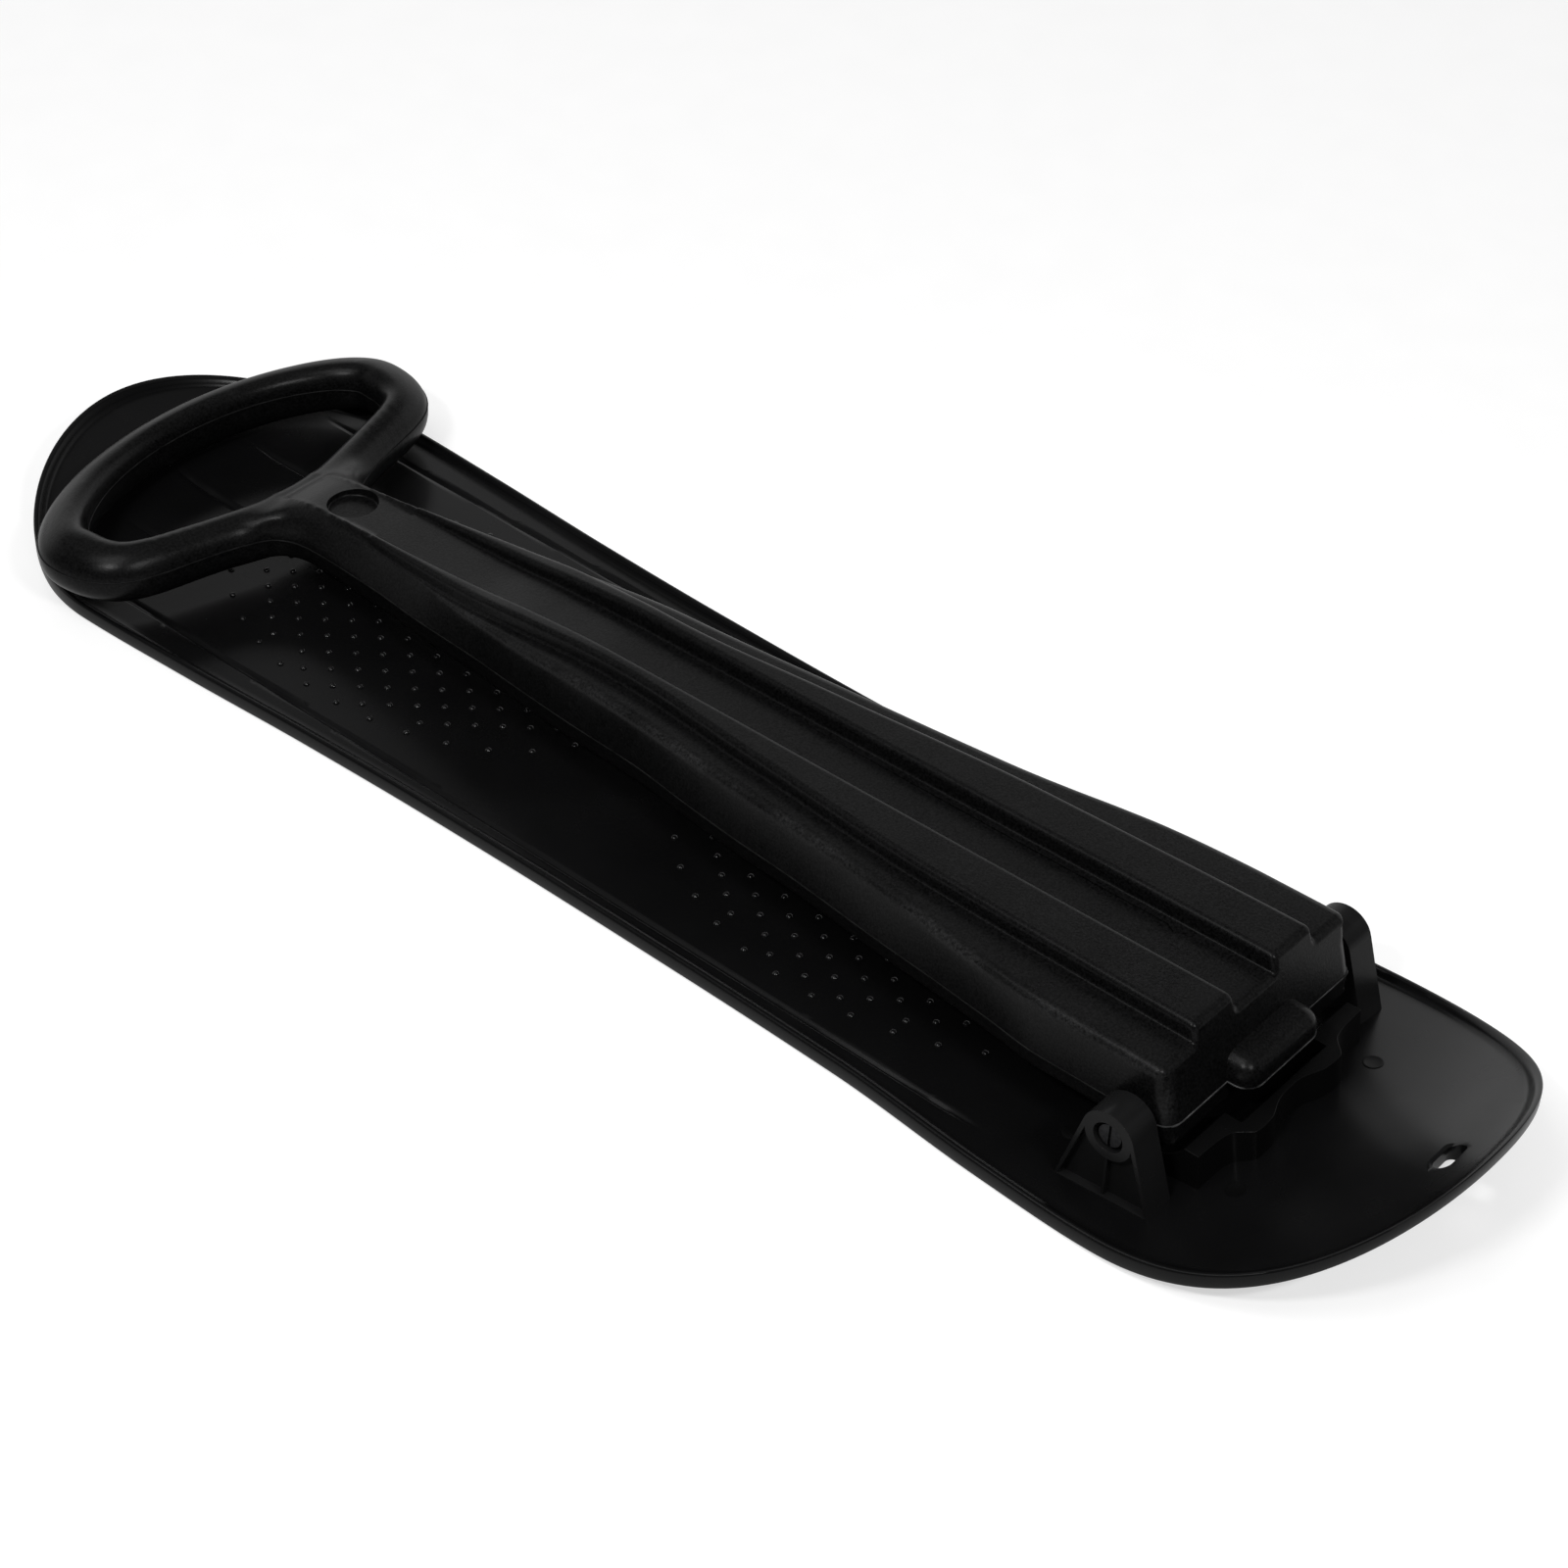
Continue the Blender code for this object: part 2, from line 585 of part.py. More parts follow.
def cut_rope_hole(deck):
    """Oblong hole through the nose for a tow rope."""
    y = ROPE_HOLE_FROM_NOSE - HALF_LENGTH
    end_radius = ROPE_HOLE_WIDTH / 2
    straight = ROPE_HOLE_LENGTH / 2 - end_radius
    plan = []
    for side in (1, -1):
        for k in range(ROUND_STEPS // 2 + 1):
            turn = side * math.pi / 2 - math.pi * k / (ROUND_STEPS // 2)
            plan.append((side * straight + end_radius * math.cos(turn), y + end_radius * math.sin(turn)))
    top = ground(0.0, y) + PLATE_THICKNESS + CUT_OVERRUN
    rings = [[Vector((x, place, z)) for x, place in plan] for z in (ground(0.0, y) - CUT_OVERRUN, top)]
    combine(deck, make_object("rope_hole", *loft(rings)), "DIFFERENCE")


def make_deck(material):
    """The whole one-piece moulding: board, ears and platform."""
    deck = make_plate(material)
    add_platform(deck)
    for side in (-1, 1):
        add_ear(deck, side)
    cut_rope_hole(deck)
    return deck


def body_section(share, inset=0.0):
    """Half outline of the handle across X, from the middle of its underside to the middle of its top."""
    wide = FOOT_HALF_WIDTH
    parting = wide * smooth_table(PARTING_SHARES, share) - inset
    shoulder = wide * smooth_table(SHOULDER_SHARES, share) - inset
    rib_outer = wide * smooth_table(RIB_OUTER_SHARES, share) - inset
    rib_inner = RIB_INNER_HALF_WIDTH + inset
    crest = rib_outer - rib_inner
    draft = min(RIB_DRAFT, crest * 0.2)
    parting_z = PIVOT_HEIGHT + (RING_HEIGHT - PIVOT_HEIGHT) * max(0.0, share)
    level_share = (REST_REAR + SWING_GAP) / HANDLE_LENGTH
    fall = max(0.0, share - level_share) / (BODY_END_SHARE - level_share)
    bottom = FOOT_BOTTOM + (NECK_BOTTOM - FOOT_BOTTOM) * fall + inset
    rib_top = parting_z + RIB_RISE * smooth_table(RIB_TOP_SHARES, share) - inset
    shoulder_z = rib_top - RIB_STEP * smooth_table(SHOULDER_STEP_SHARES, share)
    channel_z = rib_top - RIB_STEP * smooth_table(CHANNEL_STEP_SHARES, share)
    under = parting - FOOT_BOTTOM_DRAFT
    soft = min(SHOULDER_ROUND, (shoulder - rib_outer) * 0.7)
    rib_soft = min(RIB_ROUND, crest * 0.2, (rib_top - channel_z) / 2, (rib_top - shoulder_z) / 2)
    return [
        (0.0, bottom), (under - BOTTOM_ROUND, bottom),
        (under - BOTTOM_ROUND * 0.3, bottom + BOTTOM_ROUND * 0.3), (under, bottom + BOTTOM_ROUND),
        (parting, parting_z),
        (shoulder + soft * 0.3, shoulder_z - soft), (shoulder, shoulder_z - soft * 0.3),
        (shoulder - soft * 0.7, shoulder_z), (rib_outer, shoulder_z),
        (rib_outer - draft, rib_top - rib_soft), (rib_outer - draft - rib_soft, rib_top),
        (rib_inner + draft + rib_soft, rib_top),
        (rib_inner + draft, rib_top - rib_soft), (rib_inner, channel_z), (0.0, channel_z),
    ]


def body_ring(share, y_at, inset=0.0):
    """Full outline of the handle at one place, with Y given for each height."""
    half = body_section(share, inset)
    full = half + [(-x, z) for x, z in reversed(half[1:-1])]
    return [Vector((x, y_at(z), z)) for x, z in full]


def foot_cap(count):
    """Faces that close the foot's end level by level: the wall between the shoulders, then each rib."""
    last = count // 2
    rib = last - RIB_POINTS
    left = [-i % count for i in range(last + 1)]
    faces = [(0, 1, 2, left[2], left[1])]
    for i in range(2, rib - 2):
        faces.append((i, i + 1, left[i + 1], left[i]))
    wall = [rib - 2, rib - 1, rib, last - 1, last]
    faces.append(tuple(wall + [left[i] for i in reversed(wall[:-1])]))
    for side in (list(range(count)), left):
        faces.append((side[rib], side[rib + 1], side[last - 2], side[last - 1]))
        faces.append((side[rib + 1], side[rib + 2], side[last - 3], side[last - 2]))
    return faces


def foot_end_y(z):
    """The end face of the foot: upright to the parting line, leaning to the shoulders, then upright."""
    lean = min(1.0, max(0.0, z - PIVOT_HEIGHT) / FOOT_LEAN_RISE)
    return PIVOT_Y - FOOT_END + FOOT_TOP_SETBACK * lean


def make_body():
    """The long tapering body of the handle with its two ribs."""
    start = -FOOT_END / HANDLE_LENGTH
    rings = [
        body_ring(start, foot_end_y, inset=FOOT_END_ROUND * 0.6),
        body_ring(start, lambda z: foot_end_y(z) + FOOT_END_ROUND * 0.3, inset=FOOT_END_ROUND * 0.15),
        body_ring(start, lambda z: foot_end_y(z) + FOOT_END_ROUND),
    ]
    for k in range(BODY_STEPS + 1):
        share = BODY_END_SHARE * k / BODY_STEPS
        rings.append(body_ring(share, lambda z, place=share: PIVOT_Y + HANDLE_LENGTH * place))
    points, faces = loft(rings)
    count = len(rings[0])
    ends = [face for face in faces if len(face) != count or 0 not in face]
    return make_object("handle", points, ends + foot_cap(count))


def ring_centre():
    """Closed centre line of the grip's tube with the tube's half width: points on a smooth curve."""
    half = [(x * RING_HALF_WIDTH, RING_TOP_Y - back * RING_LENGTH, wide * RING_TUBE_HALF_WIDTH)
            for x, back, wide in RING_SHARES]
    knots = [Vector(row) for row in half]
    knots += [Vector((-row[0], row[1], row[2])) for row in reversed(half[1:-1])]
    count = len(knots)
    points = []
    for k in range(RING_STEPS):
        place = k * count / RING_STEPS
        i = int(place)
        t = place - i
        before, here, there, after = (knots[(i + j) % count] for j in (-1, 0, 1, 2))
        points.append(here + (there - before) * (t / 2)
                      + (before * 2 - here * 5 + there * 4 - after) * (t * t / 2)
                      + (here * 3 - before - there * 3 + after) * (t ** 3 / 2))
    return points


def make_grip():
    """The closed oval tube that the rider holds."""
    centre = ring_centre()
    rings = []
    for i, point in enumerate(centre):
        along = centre[(i + 1) % len(centre)] - centre[i - 1]
        out = Vector((-along.y, along.x, 0.0)).normalized()
        back = (RING_TOP_Y - point.y) / RING_LENGTH
        height = RING_HEIGHT - RING_REAR_DROP * smooth_step(1 - back / RING_DROP_START)
        ring = []
        for k in range(TUBE_STEPS):
            turn = 2 * math.pi * (k + 0.5) / TUBE_STEPS
            wide = math.copysign(abs(math.cos(turn)) ** (2 / RING_TUBE_POWER), math.cos(turn))
            tall = math.copysign(abs(math.sin(turn)) ** (2 / RING_TUBE_POWER), math.sin(turn))
            across = wide * point.z
            rise = tall * RING_TUBE_HALF_HEIGHT * (RING_TUBE_DEEPER_BELOW if tall < 0 else 1)
            z = height + rise - across * RING_TUBE_SLOPE_SHARE * (1 + tall) / 2
            ring.append(Vector((point.x, point.y, z)) + out * across)
        rings.append(ring)
    return make_object("grip", *loft(rings, closed=True))


def make_bump():
    """Rounded block on the foot's end face that drops into the platform's pocket."""
    inside_y = PIVOT_Y - FOOT_END / 2
    bump = block(
        "bump", (-BUMP_HALF_WIDTH, PIVOT_Y - BUMP_REACH, PIVOT_HEIGHT),
        (BUMP_HALF_WIDTH, inside_y, PIVOT_HEIGHT + BUMP_RISE))
    work = bmesh.new()
    work.from_mesh(bump.data)
    front = [e for e in work.edges if all(v.co.y < PIVOT_Y - FOOT_END for v in e.verts)]
    rounded = [e for e in front if abs(e.verts[0].co.z - e.verts[1].co.z) > BUMP_RISE / 2]
    rounded += [e for e in front if all(v.co.z > PIVOT_HEIGHT + BUMP_RISE / 2 for v in e.verts)]
    bmesh.ops.bevel(work, geom=rounded, offset=BUMP_ROUND, segments=BUMP_ROUND_STEPS, profile=0.5,
                    affect="EDGES", clamp_overlap=True)
    work.to_mesh(bump.data)
    work.free()
    return bump


def make_handle(material):
    """The folding handle: foot, body, grip and bump in one hollow-looking moulding."""
    handle = make_body()
    handle.data.materials.append(material)
    combine(handle, make_grip(), "UNION")
    combine(handle, make_bump(), "UNION")
    recess_y = PIVOT_Y + RECESS_FROM_PIVOT
    share = RECESS_FROM_PIVOT / HANDLE_LENGTH
    surface = body_section(share)[-1][1]
    turns = [2 * math.pi * k / ROUND_STEPS for k in range(ROUND_STEPS)]
    rings = [[Vector((RECESS_RADIUS * math.cos(turn), recess_y + RECESS_RADIUS * math.sin(turn), z))
              for turn in turns] for z in (surface - RECESS_DEPTH, surface + CUT_OVERRUN * 2)]
    combine(handle, make_object("neck_recess", *loft(rings)), "DIFFERENCE")
    for side, label in ((-1, "left"), (1, "right")):
        depth = FOOT_HALF_WIDTH - INSERT_LENGTH - SEAT_GAP * 2
        bore = rod(f"insert_bore_{label}", side * depth, side * (FOOT_HALF_WIDTH + CUT_OVERRUN),
                   INSERT_RADIUS + SEAT_GAP)
        combine(handle, bore, "DIFFERENCE")
    return handle


def make_fasteners(side, steel, nylon, brass):
    """Bolt, washer, flanged bush and threaded insert on one side of the pivot."""
    label = "right" if side > 0 else "left"
    washer_inner = COUNTERBORE_FLOOR_X + SEAT_GAP
    washer_outer = washer_inner + WASHER_THICKNESS
    washer = turned(f"washer_{label}", (
        (side * washer_inner, BORE_CLEAR_RADIUS), (side * washer_inner, WASHER_RADIUS),
        (side * washer_outer, WASHER_RADIUS), (side * washer_outer, BORE_CLEAR_RADIUS)), steel)

    head_inner = washer_outer + SEAT_GAP
    head_outer = head_inner + BOLT_HEAD_HEIGHT
    tip = FOOT_HALF_WIDTH - BOLT_GRIP
    edge = BOLT_SLOT_DEPTH / 3
    bolt = stepped_rod(f"pivot_bolt_{label}", (
        (side * tip, BOLT_RADIUS - edge), (side * (tip + edge), BOLT_RADIUS),
        (side * head_inner, BOLT_RADIUS),
        (side * head_inner, BOLT_HEAD_RADIUS), (side * (head_outer - edge), BOLT_HEAD_RADIUS),
        (side * head_outer, BOLT_HEAD_RADIUS - edge)), steel)
    half_slot = BOLT_SLOT_WIDTH / 2
    xs = sorted((side * (head_outer - BOLT_SLOT_DEPTH), side * (head_outer + CUT_OVERRUN)))
    reach = BOLT_HEAD_RADIUS + CUT_OVERRUN
    slot = block(f"bolt_slot_{label}", (xs[0], PIVOT_Y - half_slot, PIVOT_HEIGHT - reach),
                 (xs[1], PIVOT_Y + half_slot, PIVOT_HEIGHT + reach))
    combine(bolt, slot, "DIFFERENCE")

    flange_inner = FOOT_HALF_WIDTH + SEAT_GAP
    flange_outer = EAR_INNER_X - SEAT_GAP
    sleeve_end = COUNTERBORE_FLOOR_X - SEAT_GAP
    bush = turned(f"pivot_bush_{label}", (
        (side * flange_inner, BORE_CLEAR_RADIUS), (side * flange_inner, BUSH_FLANGE_RADIUS),
        (side * flange_outer, BUSH_FLANGE_RADIUS), (side * flange_outer, BUSH_RADIUS),
        (side * sleeve_end, BUSH_RADIUS), (side * sleeve_end, BORE_CLEAR_RADIUS)), nylon)

    insert_outer = FOOT_HALF_WIDTH - SEAT_GAP
    insert_inner = insert_outer - INSERT_LENGTH
    insert = turned(f"threaded_insert_{label}", (
        (side * insert_outer, BORE_CLEAR_RADIUS), (side * insert_outer, INSERT_RADIUS),
        (side * insert_inner, INSERT_RADIUS), (side * insert_inner, BORE_CLEAR_RADIUS)), brass)
    return [bolt, insert], [washer, bush]


def centre_origin(obj, place):
    """Moves an object's origin to a place and leaves its shape where it is."""
    obj.data.transform(Matrix.Translation(-place))
    obj.location = place


def main():
    for obj in list(bpy.data.objects):
        bpy.data.objects.remove(obj, do_unlink=True)

    gloss = make_material("board plastic", BLACK_GLOSS)
    satin = make_material("handle plastic", BLACK_SATIN)
    steel = make_material("zinc plated steel", ZINC_STEEL)
    nylon = make_material("bush nylon", DARK_NYLON)
    brass = make_material("insert brass", BRASS)

    make_deck(gloss)
    handle = make_handle(satin)
    pivot = Vector((0.0, PIVOT_Y, PIVOT_HEIGHT))
    centre_origin(handle, pivot)
    for side in (-1, 1):
        moving, _ = make_fasteners(side, steel, nylon, brass)
        for piece in moving:
            centre_origin(piece, pivot)


main()
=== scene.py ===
# %% [markdown]
# # A black snow scooter, dressed for its photograph
#
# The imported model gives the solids: a board, a folding handle and the pieces of its pivot. This lesson
# makes their fine surface in Blender, piece by piece, and lights it like a plain studio photograph.
# The board and the handle are plastic mouldings, so nearly everything is about soft edges, thin mould
# lines and a black surface that shows its shape only by what it reflects.

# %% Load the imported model
import math

import bmesh
import bpy
import numpy as np
from mathutils import Matrix, Vector


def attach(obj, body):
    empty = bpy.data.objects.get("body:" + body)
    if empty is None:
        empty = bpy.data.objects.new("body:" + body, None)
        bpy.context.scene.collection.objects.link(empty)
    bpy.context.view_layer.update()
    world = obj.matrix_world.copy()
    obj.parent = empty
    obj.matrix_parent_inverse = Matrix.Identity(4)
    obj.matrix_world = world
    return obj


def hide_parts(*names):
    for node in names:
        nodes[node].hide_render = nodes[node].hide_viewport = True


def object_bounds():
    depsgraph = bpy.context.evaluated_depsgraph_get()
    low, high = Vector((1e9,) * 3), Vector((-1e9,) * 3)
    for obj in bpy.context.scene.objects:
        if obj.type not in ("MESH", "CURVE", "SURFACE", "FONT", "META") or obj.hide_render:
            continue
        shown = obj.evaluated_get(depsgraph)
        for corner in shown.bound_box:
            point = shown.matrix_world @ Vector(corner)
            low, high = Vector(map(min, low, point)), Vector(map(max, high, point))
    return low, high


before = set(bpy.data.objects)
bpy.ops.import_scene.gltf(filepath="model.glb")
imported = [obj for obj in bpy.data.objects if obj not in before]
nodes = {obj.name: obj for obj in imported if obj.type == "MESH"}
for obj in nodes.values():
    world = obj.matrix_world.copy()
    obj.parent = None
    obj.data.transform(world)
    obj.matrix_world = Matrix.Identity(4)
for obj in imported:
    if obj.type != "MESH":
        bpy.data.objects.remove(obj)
cad_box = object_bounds()

# %% [markdown]
# ## Small helpers
#
# An operator works on whatever is selected, so each step starts by leaving one piece alone selected.
# `laid_grid` is the sheet of clay of this lesson: Blender's grid primitive, with each crossing moved to
# a point that has been worked out. A board, a tube or a long handle is such a sheet, bent and closed.

# %% Select, apply and tidy
def only(piece):
    """Leaves one piece selected and active."""
    if bpy.context.object and bpy.context.object.mode != "OBJECT":
        bpy.ops.object.mode_set(mode="OBJECT")
    bpy.ops.object.select_all(action="DESELECT")
    piece.hide_viewport = False
    piece.select_set(True)
    bpy.context.view_layer.objects.active = piece


def edit_all(piece):
    """Goes into edit mode with the whole piece selected."""
    only(piece)
    bpy.ops.object.mode_set(mode="EDIT")
    bpy.ops.mesh.select_all(action="SELECT")


def leave_edit():
    bpy.ops.object.mode_set(mode="OBJECT")


def fresh(make, **sizes):
    """A new object, made by one of Blender's own operators."""
    bpy.ops.object.select_all(action="DESELECT")
    make(**sizes)
    return bpy.context.object


def apply_modifiers(piece):
    only(piece)
    for modifier in list(piece.modifiers):
        bpy.ops.object.modifier_apply(modifier=modifier.name)


def close_up(piece):
    """Merges points that meet and turns the faces outwards."""
    edit_all(piece)
    bpy.ops.mesh.remove_doubles(threshold=0.00002)
    bpy.ops.mesh.normals_make_consistent(inside=False)
    leave_edit()


def smooth_by_angle(piece, degrees):
    only(piece)
    bpy.ops.object.shade_smooth_by_angle(angle=math.radians(degrees))


def smooth_with_flats(piece, degrees):
    """Smooth shading up to an angle, in which large flat faces stay flat."""
    smooth_by_angle(piece, degrees)
    weighted = piece.modifiers.new("flat faces stay flat", "WEIGHTED_NORMAL")
    weighted.keep_sharp = True
    apply_modifiers(piece)


def join(name, pieces):
    """Joins pieces into the first one."""
    only(pieces[0])
    for piece in pieces[1:]:
        piece.select_set(True)
    bpy.ops.object.join()
    pieces[0].name = name
    return pieces[0]


def combine(piece, tool, operation):
    """Adds a tool to a piece (UNION) or cuts it away (DIFFERENCE), and removes the tool."""
    boolean = piece.modifiers.new("boolean", "BOOLEAN")
    boolean.operation = operation
    boolean.object = tool
    apply_modifiers(piece)
    bpy.data.objects.remove(tool)


def plain_copy(source, name):
    """A copy with a mesh of its own, free of its source's parent and notes."""
    copy = source.copy()
    copy.data = source.data.copy()
    bpy.context.scene.collection.objects.link(copy)
    copy.parent = None
    copy.hide_render = False
    copy.name = name
    for key in list(copy.keys()):
        del copy[key]
    return copy


def select_where(piece, kind, keep):
    """In edit mode, selects the points, edges or faces that keep says, and counts them."""
    only(piece)
    bpy.ops.object.mode_set(mode="EDIT")
    bpy.ops.mesh.select_mode(type=kind)
    bpy.ops.mesh.select_all(action="DESELECT")
    mesh = bmesh.from_edit_mesh(piece.data)
    choices = {"VERT": mesh.verts, "EDGE": mesh.edges, "FACE": mesh.faces}[kind]
    chosen = [item for item in choices if keep(item)]
    for item in chosen:
        item.select_set(True)
    if kind == "VERT":
        mesh.select_flush(True)
    bmesh.update_edit_mesh(piece.data)
    return len(chosen)


def middle(edge):
    return (edge.verts[0].co + edge.verts[1].co) / 2


def report(piece):
    piece.data.calc_loop_triangles()
    spans = [[corner[i] for corner in piece.bound_box] for i in range(3)]
    size = " x ".join(f"{1000 * (max(span) - min(span)):.1f}" for span in spans)
    print(f"{piece.name}: {len(piece.data.loop_triangles)} triangles, {size} mm")


# %% A grid laid over worked-out points
def laid_grid(name, rows):
    """Blender's grid with its crossings moved to rows of points, all rows of equal length."""
    columns, lines = len(rows[0]) - 1, len(rows) - 1
    sheet = fresh(bpy.ops.mesh.primitive_grid_add, x_subdivisions=columns, y_subdivisions=lines, size=1)
    sheet.name = name
    places = np.array(rows, np.float32).reshape(-1)
    assert len(places) == 3 * len(sheet.data.vertices)
    sheet.data.vertices.foreach_set("co", places)
    sheet.data.update()
    return sheet


def between(table, place):
    """A value from a table of rows, on a smooth curve through them (slopes stay flat at each extreme)."""
    places, values = zip(*table)
    place = min(max(place, places[0]), places[-1])
    i = max(k for k in range(len(table) - 1) if places[k] <= place)

    def slope(k):
        if k in (0, len(table) - 1):
            return 0.0
        before = (values[k] - values[k - 1]) / (places[k] - places[k - 1])
        after = (values[k + 1] - values[k]) / (places[k + 1] - places[k])
        return 0.0 if before * after <= 0 else 2 * before * after / (before + after)

    span = places[i + 1] - places[i]
    t = (place - places[i]) / span
    rise = values[i + 1] - values[i]
    start, end = slope(i) * span, slope(i + 1) * span
    return values[i] + t * start + t * t * (3 * rise - 2 * start - end) + t ** 3 * (start + end - 2 * rise)


def smooth_step(t):
    t = np.clip(t, 0.0, 1.0)
    return t * t * (3 - 2 * t)


# %% [markdown]
# ## The camera
#
# A photograph fixes where its camera stood. Here the view was found from the board's own symmetry and
# its level underside, so the camera is given as three directions and a place, and a long lens.

# %% Camera
view_right = Vector((0.65503653, -0.75492818, 0.03178980))
view_up = Vector((0.47005159, 0.44007303, 0.76510603))
view_forward = Vector((0.59158994, 0.48622955, -0.64311909))
view_place = Vector((-1.07852, -0.93515, 1.20959))
bpy.ops.object.camera_add()
camera = bpy.context.object
camera.name = "photo_camera"
turn = Matrix((view_right, view_up, -view_forward)).transposed().to_4x4()
camera.matrix_world = Matrix.Translation(view_place) @ turn
camera.data.sensor_width = 36
camera.data.lens = 81.6235
camera.data.clip_start = 0.05
camera.data.clip_end = 30
bpy.context.scene.camera = camera
print("camera", [round(c, 3) for c in camera.location], "lens", camera.data.lens)

# %% [markdown]
# ## The board's outline and its kicked ends
#
# The board is an injection moulding about 5 mm thick. Its outline is a slightly waisted strip with
# rounded ends, its middle lies flat, and the nose and tail sweep up. The sizes are the solid's own.

# %% Board sizes
half_length = 0.475
waist, tail_half, nose_half = 0.1127, 0.1240, 0.1232
tail_end, nose_end = 0.1177, 0.1314
tail_power, nose_power = 1.95, 2.17
tail_kick, tail_rise, tail_curve = 0.0893, 0.0256, 1.9
nose_kick, nose_rise, nose_curve = 0.1804, 0.0610, 3.1
crown_rise, crown_start, crown_run = 0.007, 0.2836, 0.080
plate = 0.005
lip = 0.0042

# rows: share of the way from tail to nose, then how far the side stands out from the waist
waist_share = 0.506
flare = ((0.0, 1.0), (0.114, 0.758), (0.246, 0.327), (0.376, 0.080), (waist_share, 0.0),
         (0.638, 0.030), (0.768, 0.169), (0.899, 0.775), (1.0, 1.0))


def ground(x, y):
    """Height of the underside: flat, kicked up at both ends, and crowned across the nose."""
    tail = np.maximum(0.0, y - half_length + tail_kick) / tail_kick
    nose = np.maximum(0.0, nose_kick - half_length - y) / nose_kick
    past_end = np.maximum(0.0, nose_end - half_length - y) / nose_end
    crown = crown_rise * smooth_step((-y - crown_start) / crown_run)
    from_middle = (x / nose_half) ** 2 + past_end ** 2
    kicks = tail_rise * tail ** tail_curve + nose_rise * nose ** nose_curve
    return kicks + crown * np.maximum(0.0, 1 - from_middle)


def deck_height(x, y):
    """Height of the board's top at a place."""
    return float(ground(x, y)) + plate


def fine_outline(steps_per_end=400, steps_per_side=500):
    """The right side of the outline, tail tip to nose tip, as many close points."""
    turns = np.linspace(math.pi / 2, 0, steps_per_end)
    tail = np.stack([tail_half * np.cos(turns) ** (2 / tail_power),
                     half_length - tail_end * (1 - np.sin(turns) ** (2 / tail_power))], 1)
    run = 2 * half_length - tail_end - nose_end
    shares = np.linspace(0, 1, steps_per_side)[1:-1]
    ends = [tail_half if s < waist_share else nose_half for s in shares]
    widths = [waist + (end - waist) * between(flare, s) for s, end in zip(shares, ends)]
    side = np.stack([widths, half_length - tail_end - run * shares], 1)
    turns = np.linspace(0, math.pi / 2, steps_per_end)
    nose = np.stack([nose_half * np.cos(turns) ** (2 / nose_power),
                     nose_end * (1 - np.sin(turns) ** (2 / nose_power)) - half_length], 1)
    return np.concatenate([tail, side, nose])


# %% Outline with even steps all round
across_count, along_count = 60, 180
right_side = fine_outline()
gaps = np.linalg.norm(np.diff(right_side, axis=0), axis=1)
run_length = np.concatenate([[0], np.cumsum(gaps)])
half_count = across_count + along_count
even = np.linspace(0, run_length[-1], half_count + 1)
right_even = np.stack([np.interp(even, run_length, right_side[:, i]) for i in (0, 1)], 1)
outline = np.concatenate([right_even[:-1], (right_even * (-1, 1))[::-1][:-1]])
print("outline", len(outline), "points, half of it", round(run_length[-1], 4), "m long")


def inset(loop, distance):
    """The closed outline moved inwards."""
    along = np.roll(loop, -1, 0) - np.roll(loop, 1, 0)
    along /= np.linalg.norm(along, axis=1)[:, None]
    return loop + distance * np.stack([along[:, 1], -along[:, 0]], 1)


# %% [markdown]
# ## The board's rim
#
# A lip runs all round the board, so that snow and boots stay on it. In profile it is a row of small
# steps from the underside, round the edge, over the lip and down to the deck. The same profile is
# repeated at every point of the outline.

# %% Rim
rim_top = plate + lip

# rows: distance in from the outline, then height over the underside
rim_profile = [
    (0.0013, 0.0), (0.0006, 0.0002), (0.0002, 0.0006), (0.0, 0.0013), (0.0, rim_top - 0.0018),
    (0.0002, rim_top - 0.0010), (0.0007, rim_top - 0.0003), (0.0015, rim_top), (0.0026, rim_top - 0.0001),
    (0.0036, rim_top - 0.0005), (0.0047, plate + 0.45 * lip), (0.0056, plate + 0.20 * lip),
    (0.0066, plate + 0.05 * lip), (0.0080, plate),
]


def rim_row(distance, height):
    loop = inset(outline, distance)
    z = ground(loop[:, 0], loop[:, 1]) + height
    ring = np.concatenate([loop, z[:, None]], 1)
    return np.concatenate([ring, ring[:1]])


rim = laid_grid("rim", [rim_row(*step) for step in rim_profile])
report(rim)

# %% [markdown]
# ## The board's top and underside
#
# Each is one grid stretched over the inside of the rim: every crossing is a blend of the four sides.
# Shallow grooves stiffen the deck. Their lines are cut into the flat grid with the bisect tool, at
# exact distances from the middle, and only then is the surface raised into its real shape.

# %% Grooves
groove_width, groove_depth, groove_taper = 0.0044, 0.0011, 0.030

# rows: distance from the middle, then where the groove starts and ends
grooves = ((0.0, 0.3320, 0.4560), (0.0500, 0.3320, 0.4170), (0.0990, -0.2630, 0.3985))


def groove(x, y):
    """How deep the deck is sunk at a place."""
    depth = np.zeros_like(x)
    for place, start, end in grooves:
        near = np.clip(1 - np.abs(np.abs(x) - place) / (groove_width / 2), 0, 1)
        run = smooth_step((y - start) / groove_taper) * smooth_step((end - y) / groove_taper)
        depth = np.maximum(depth, groove_depth * smooth_step(near) * run)
    return depth


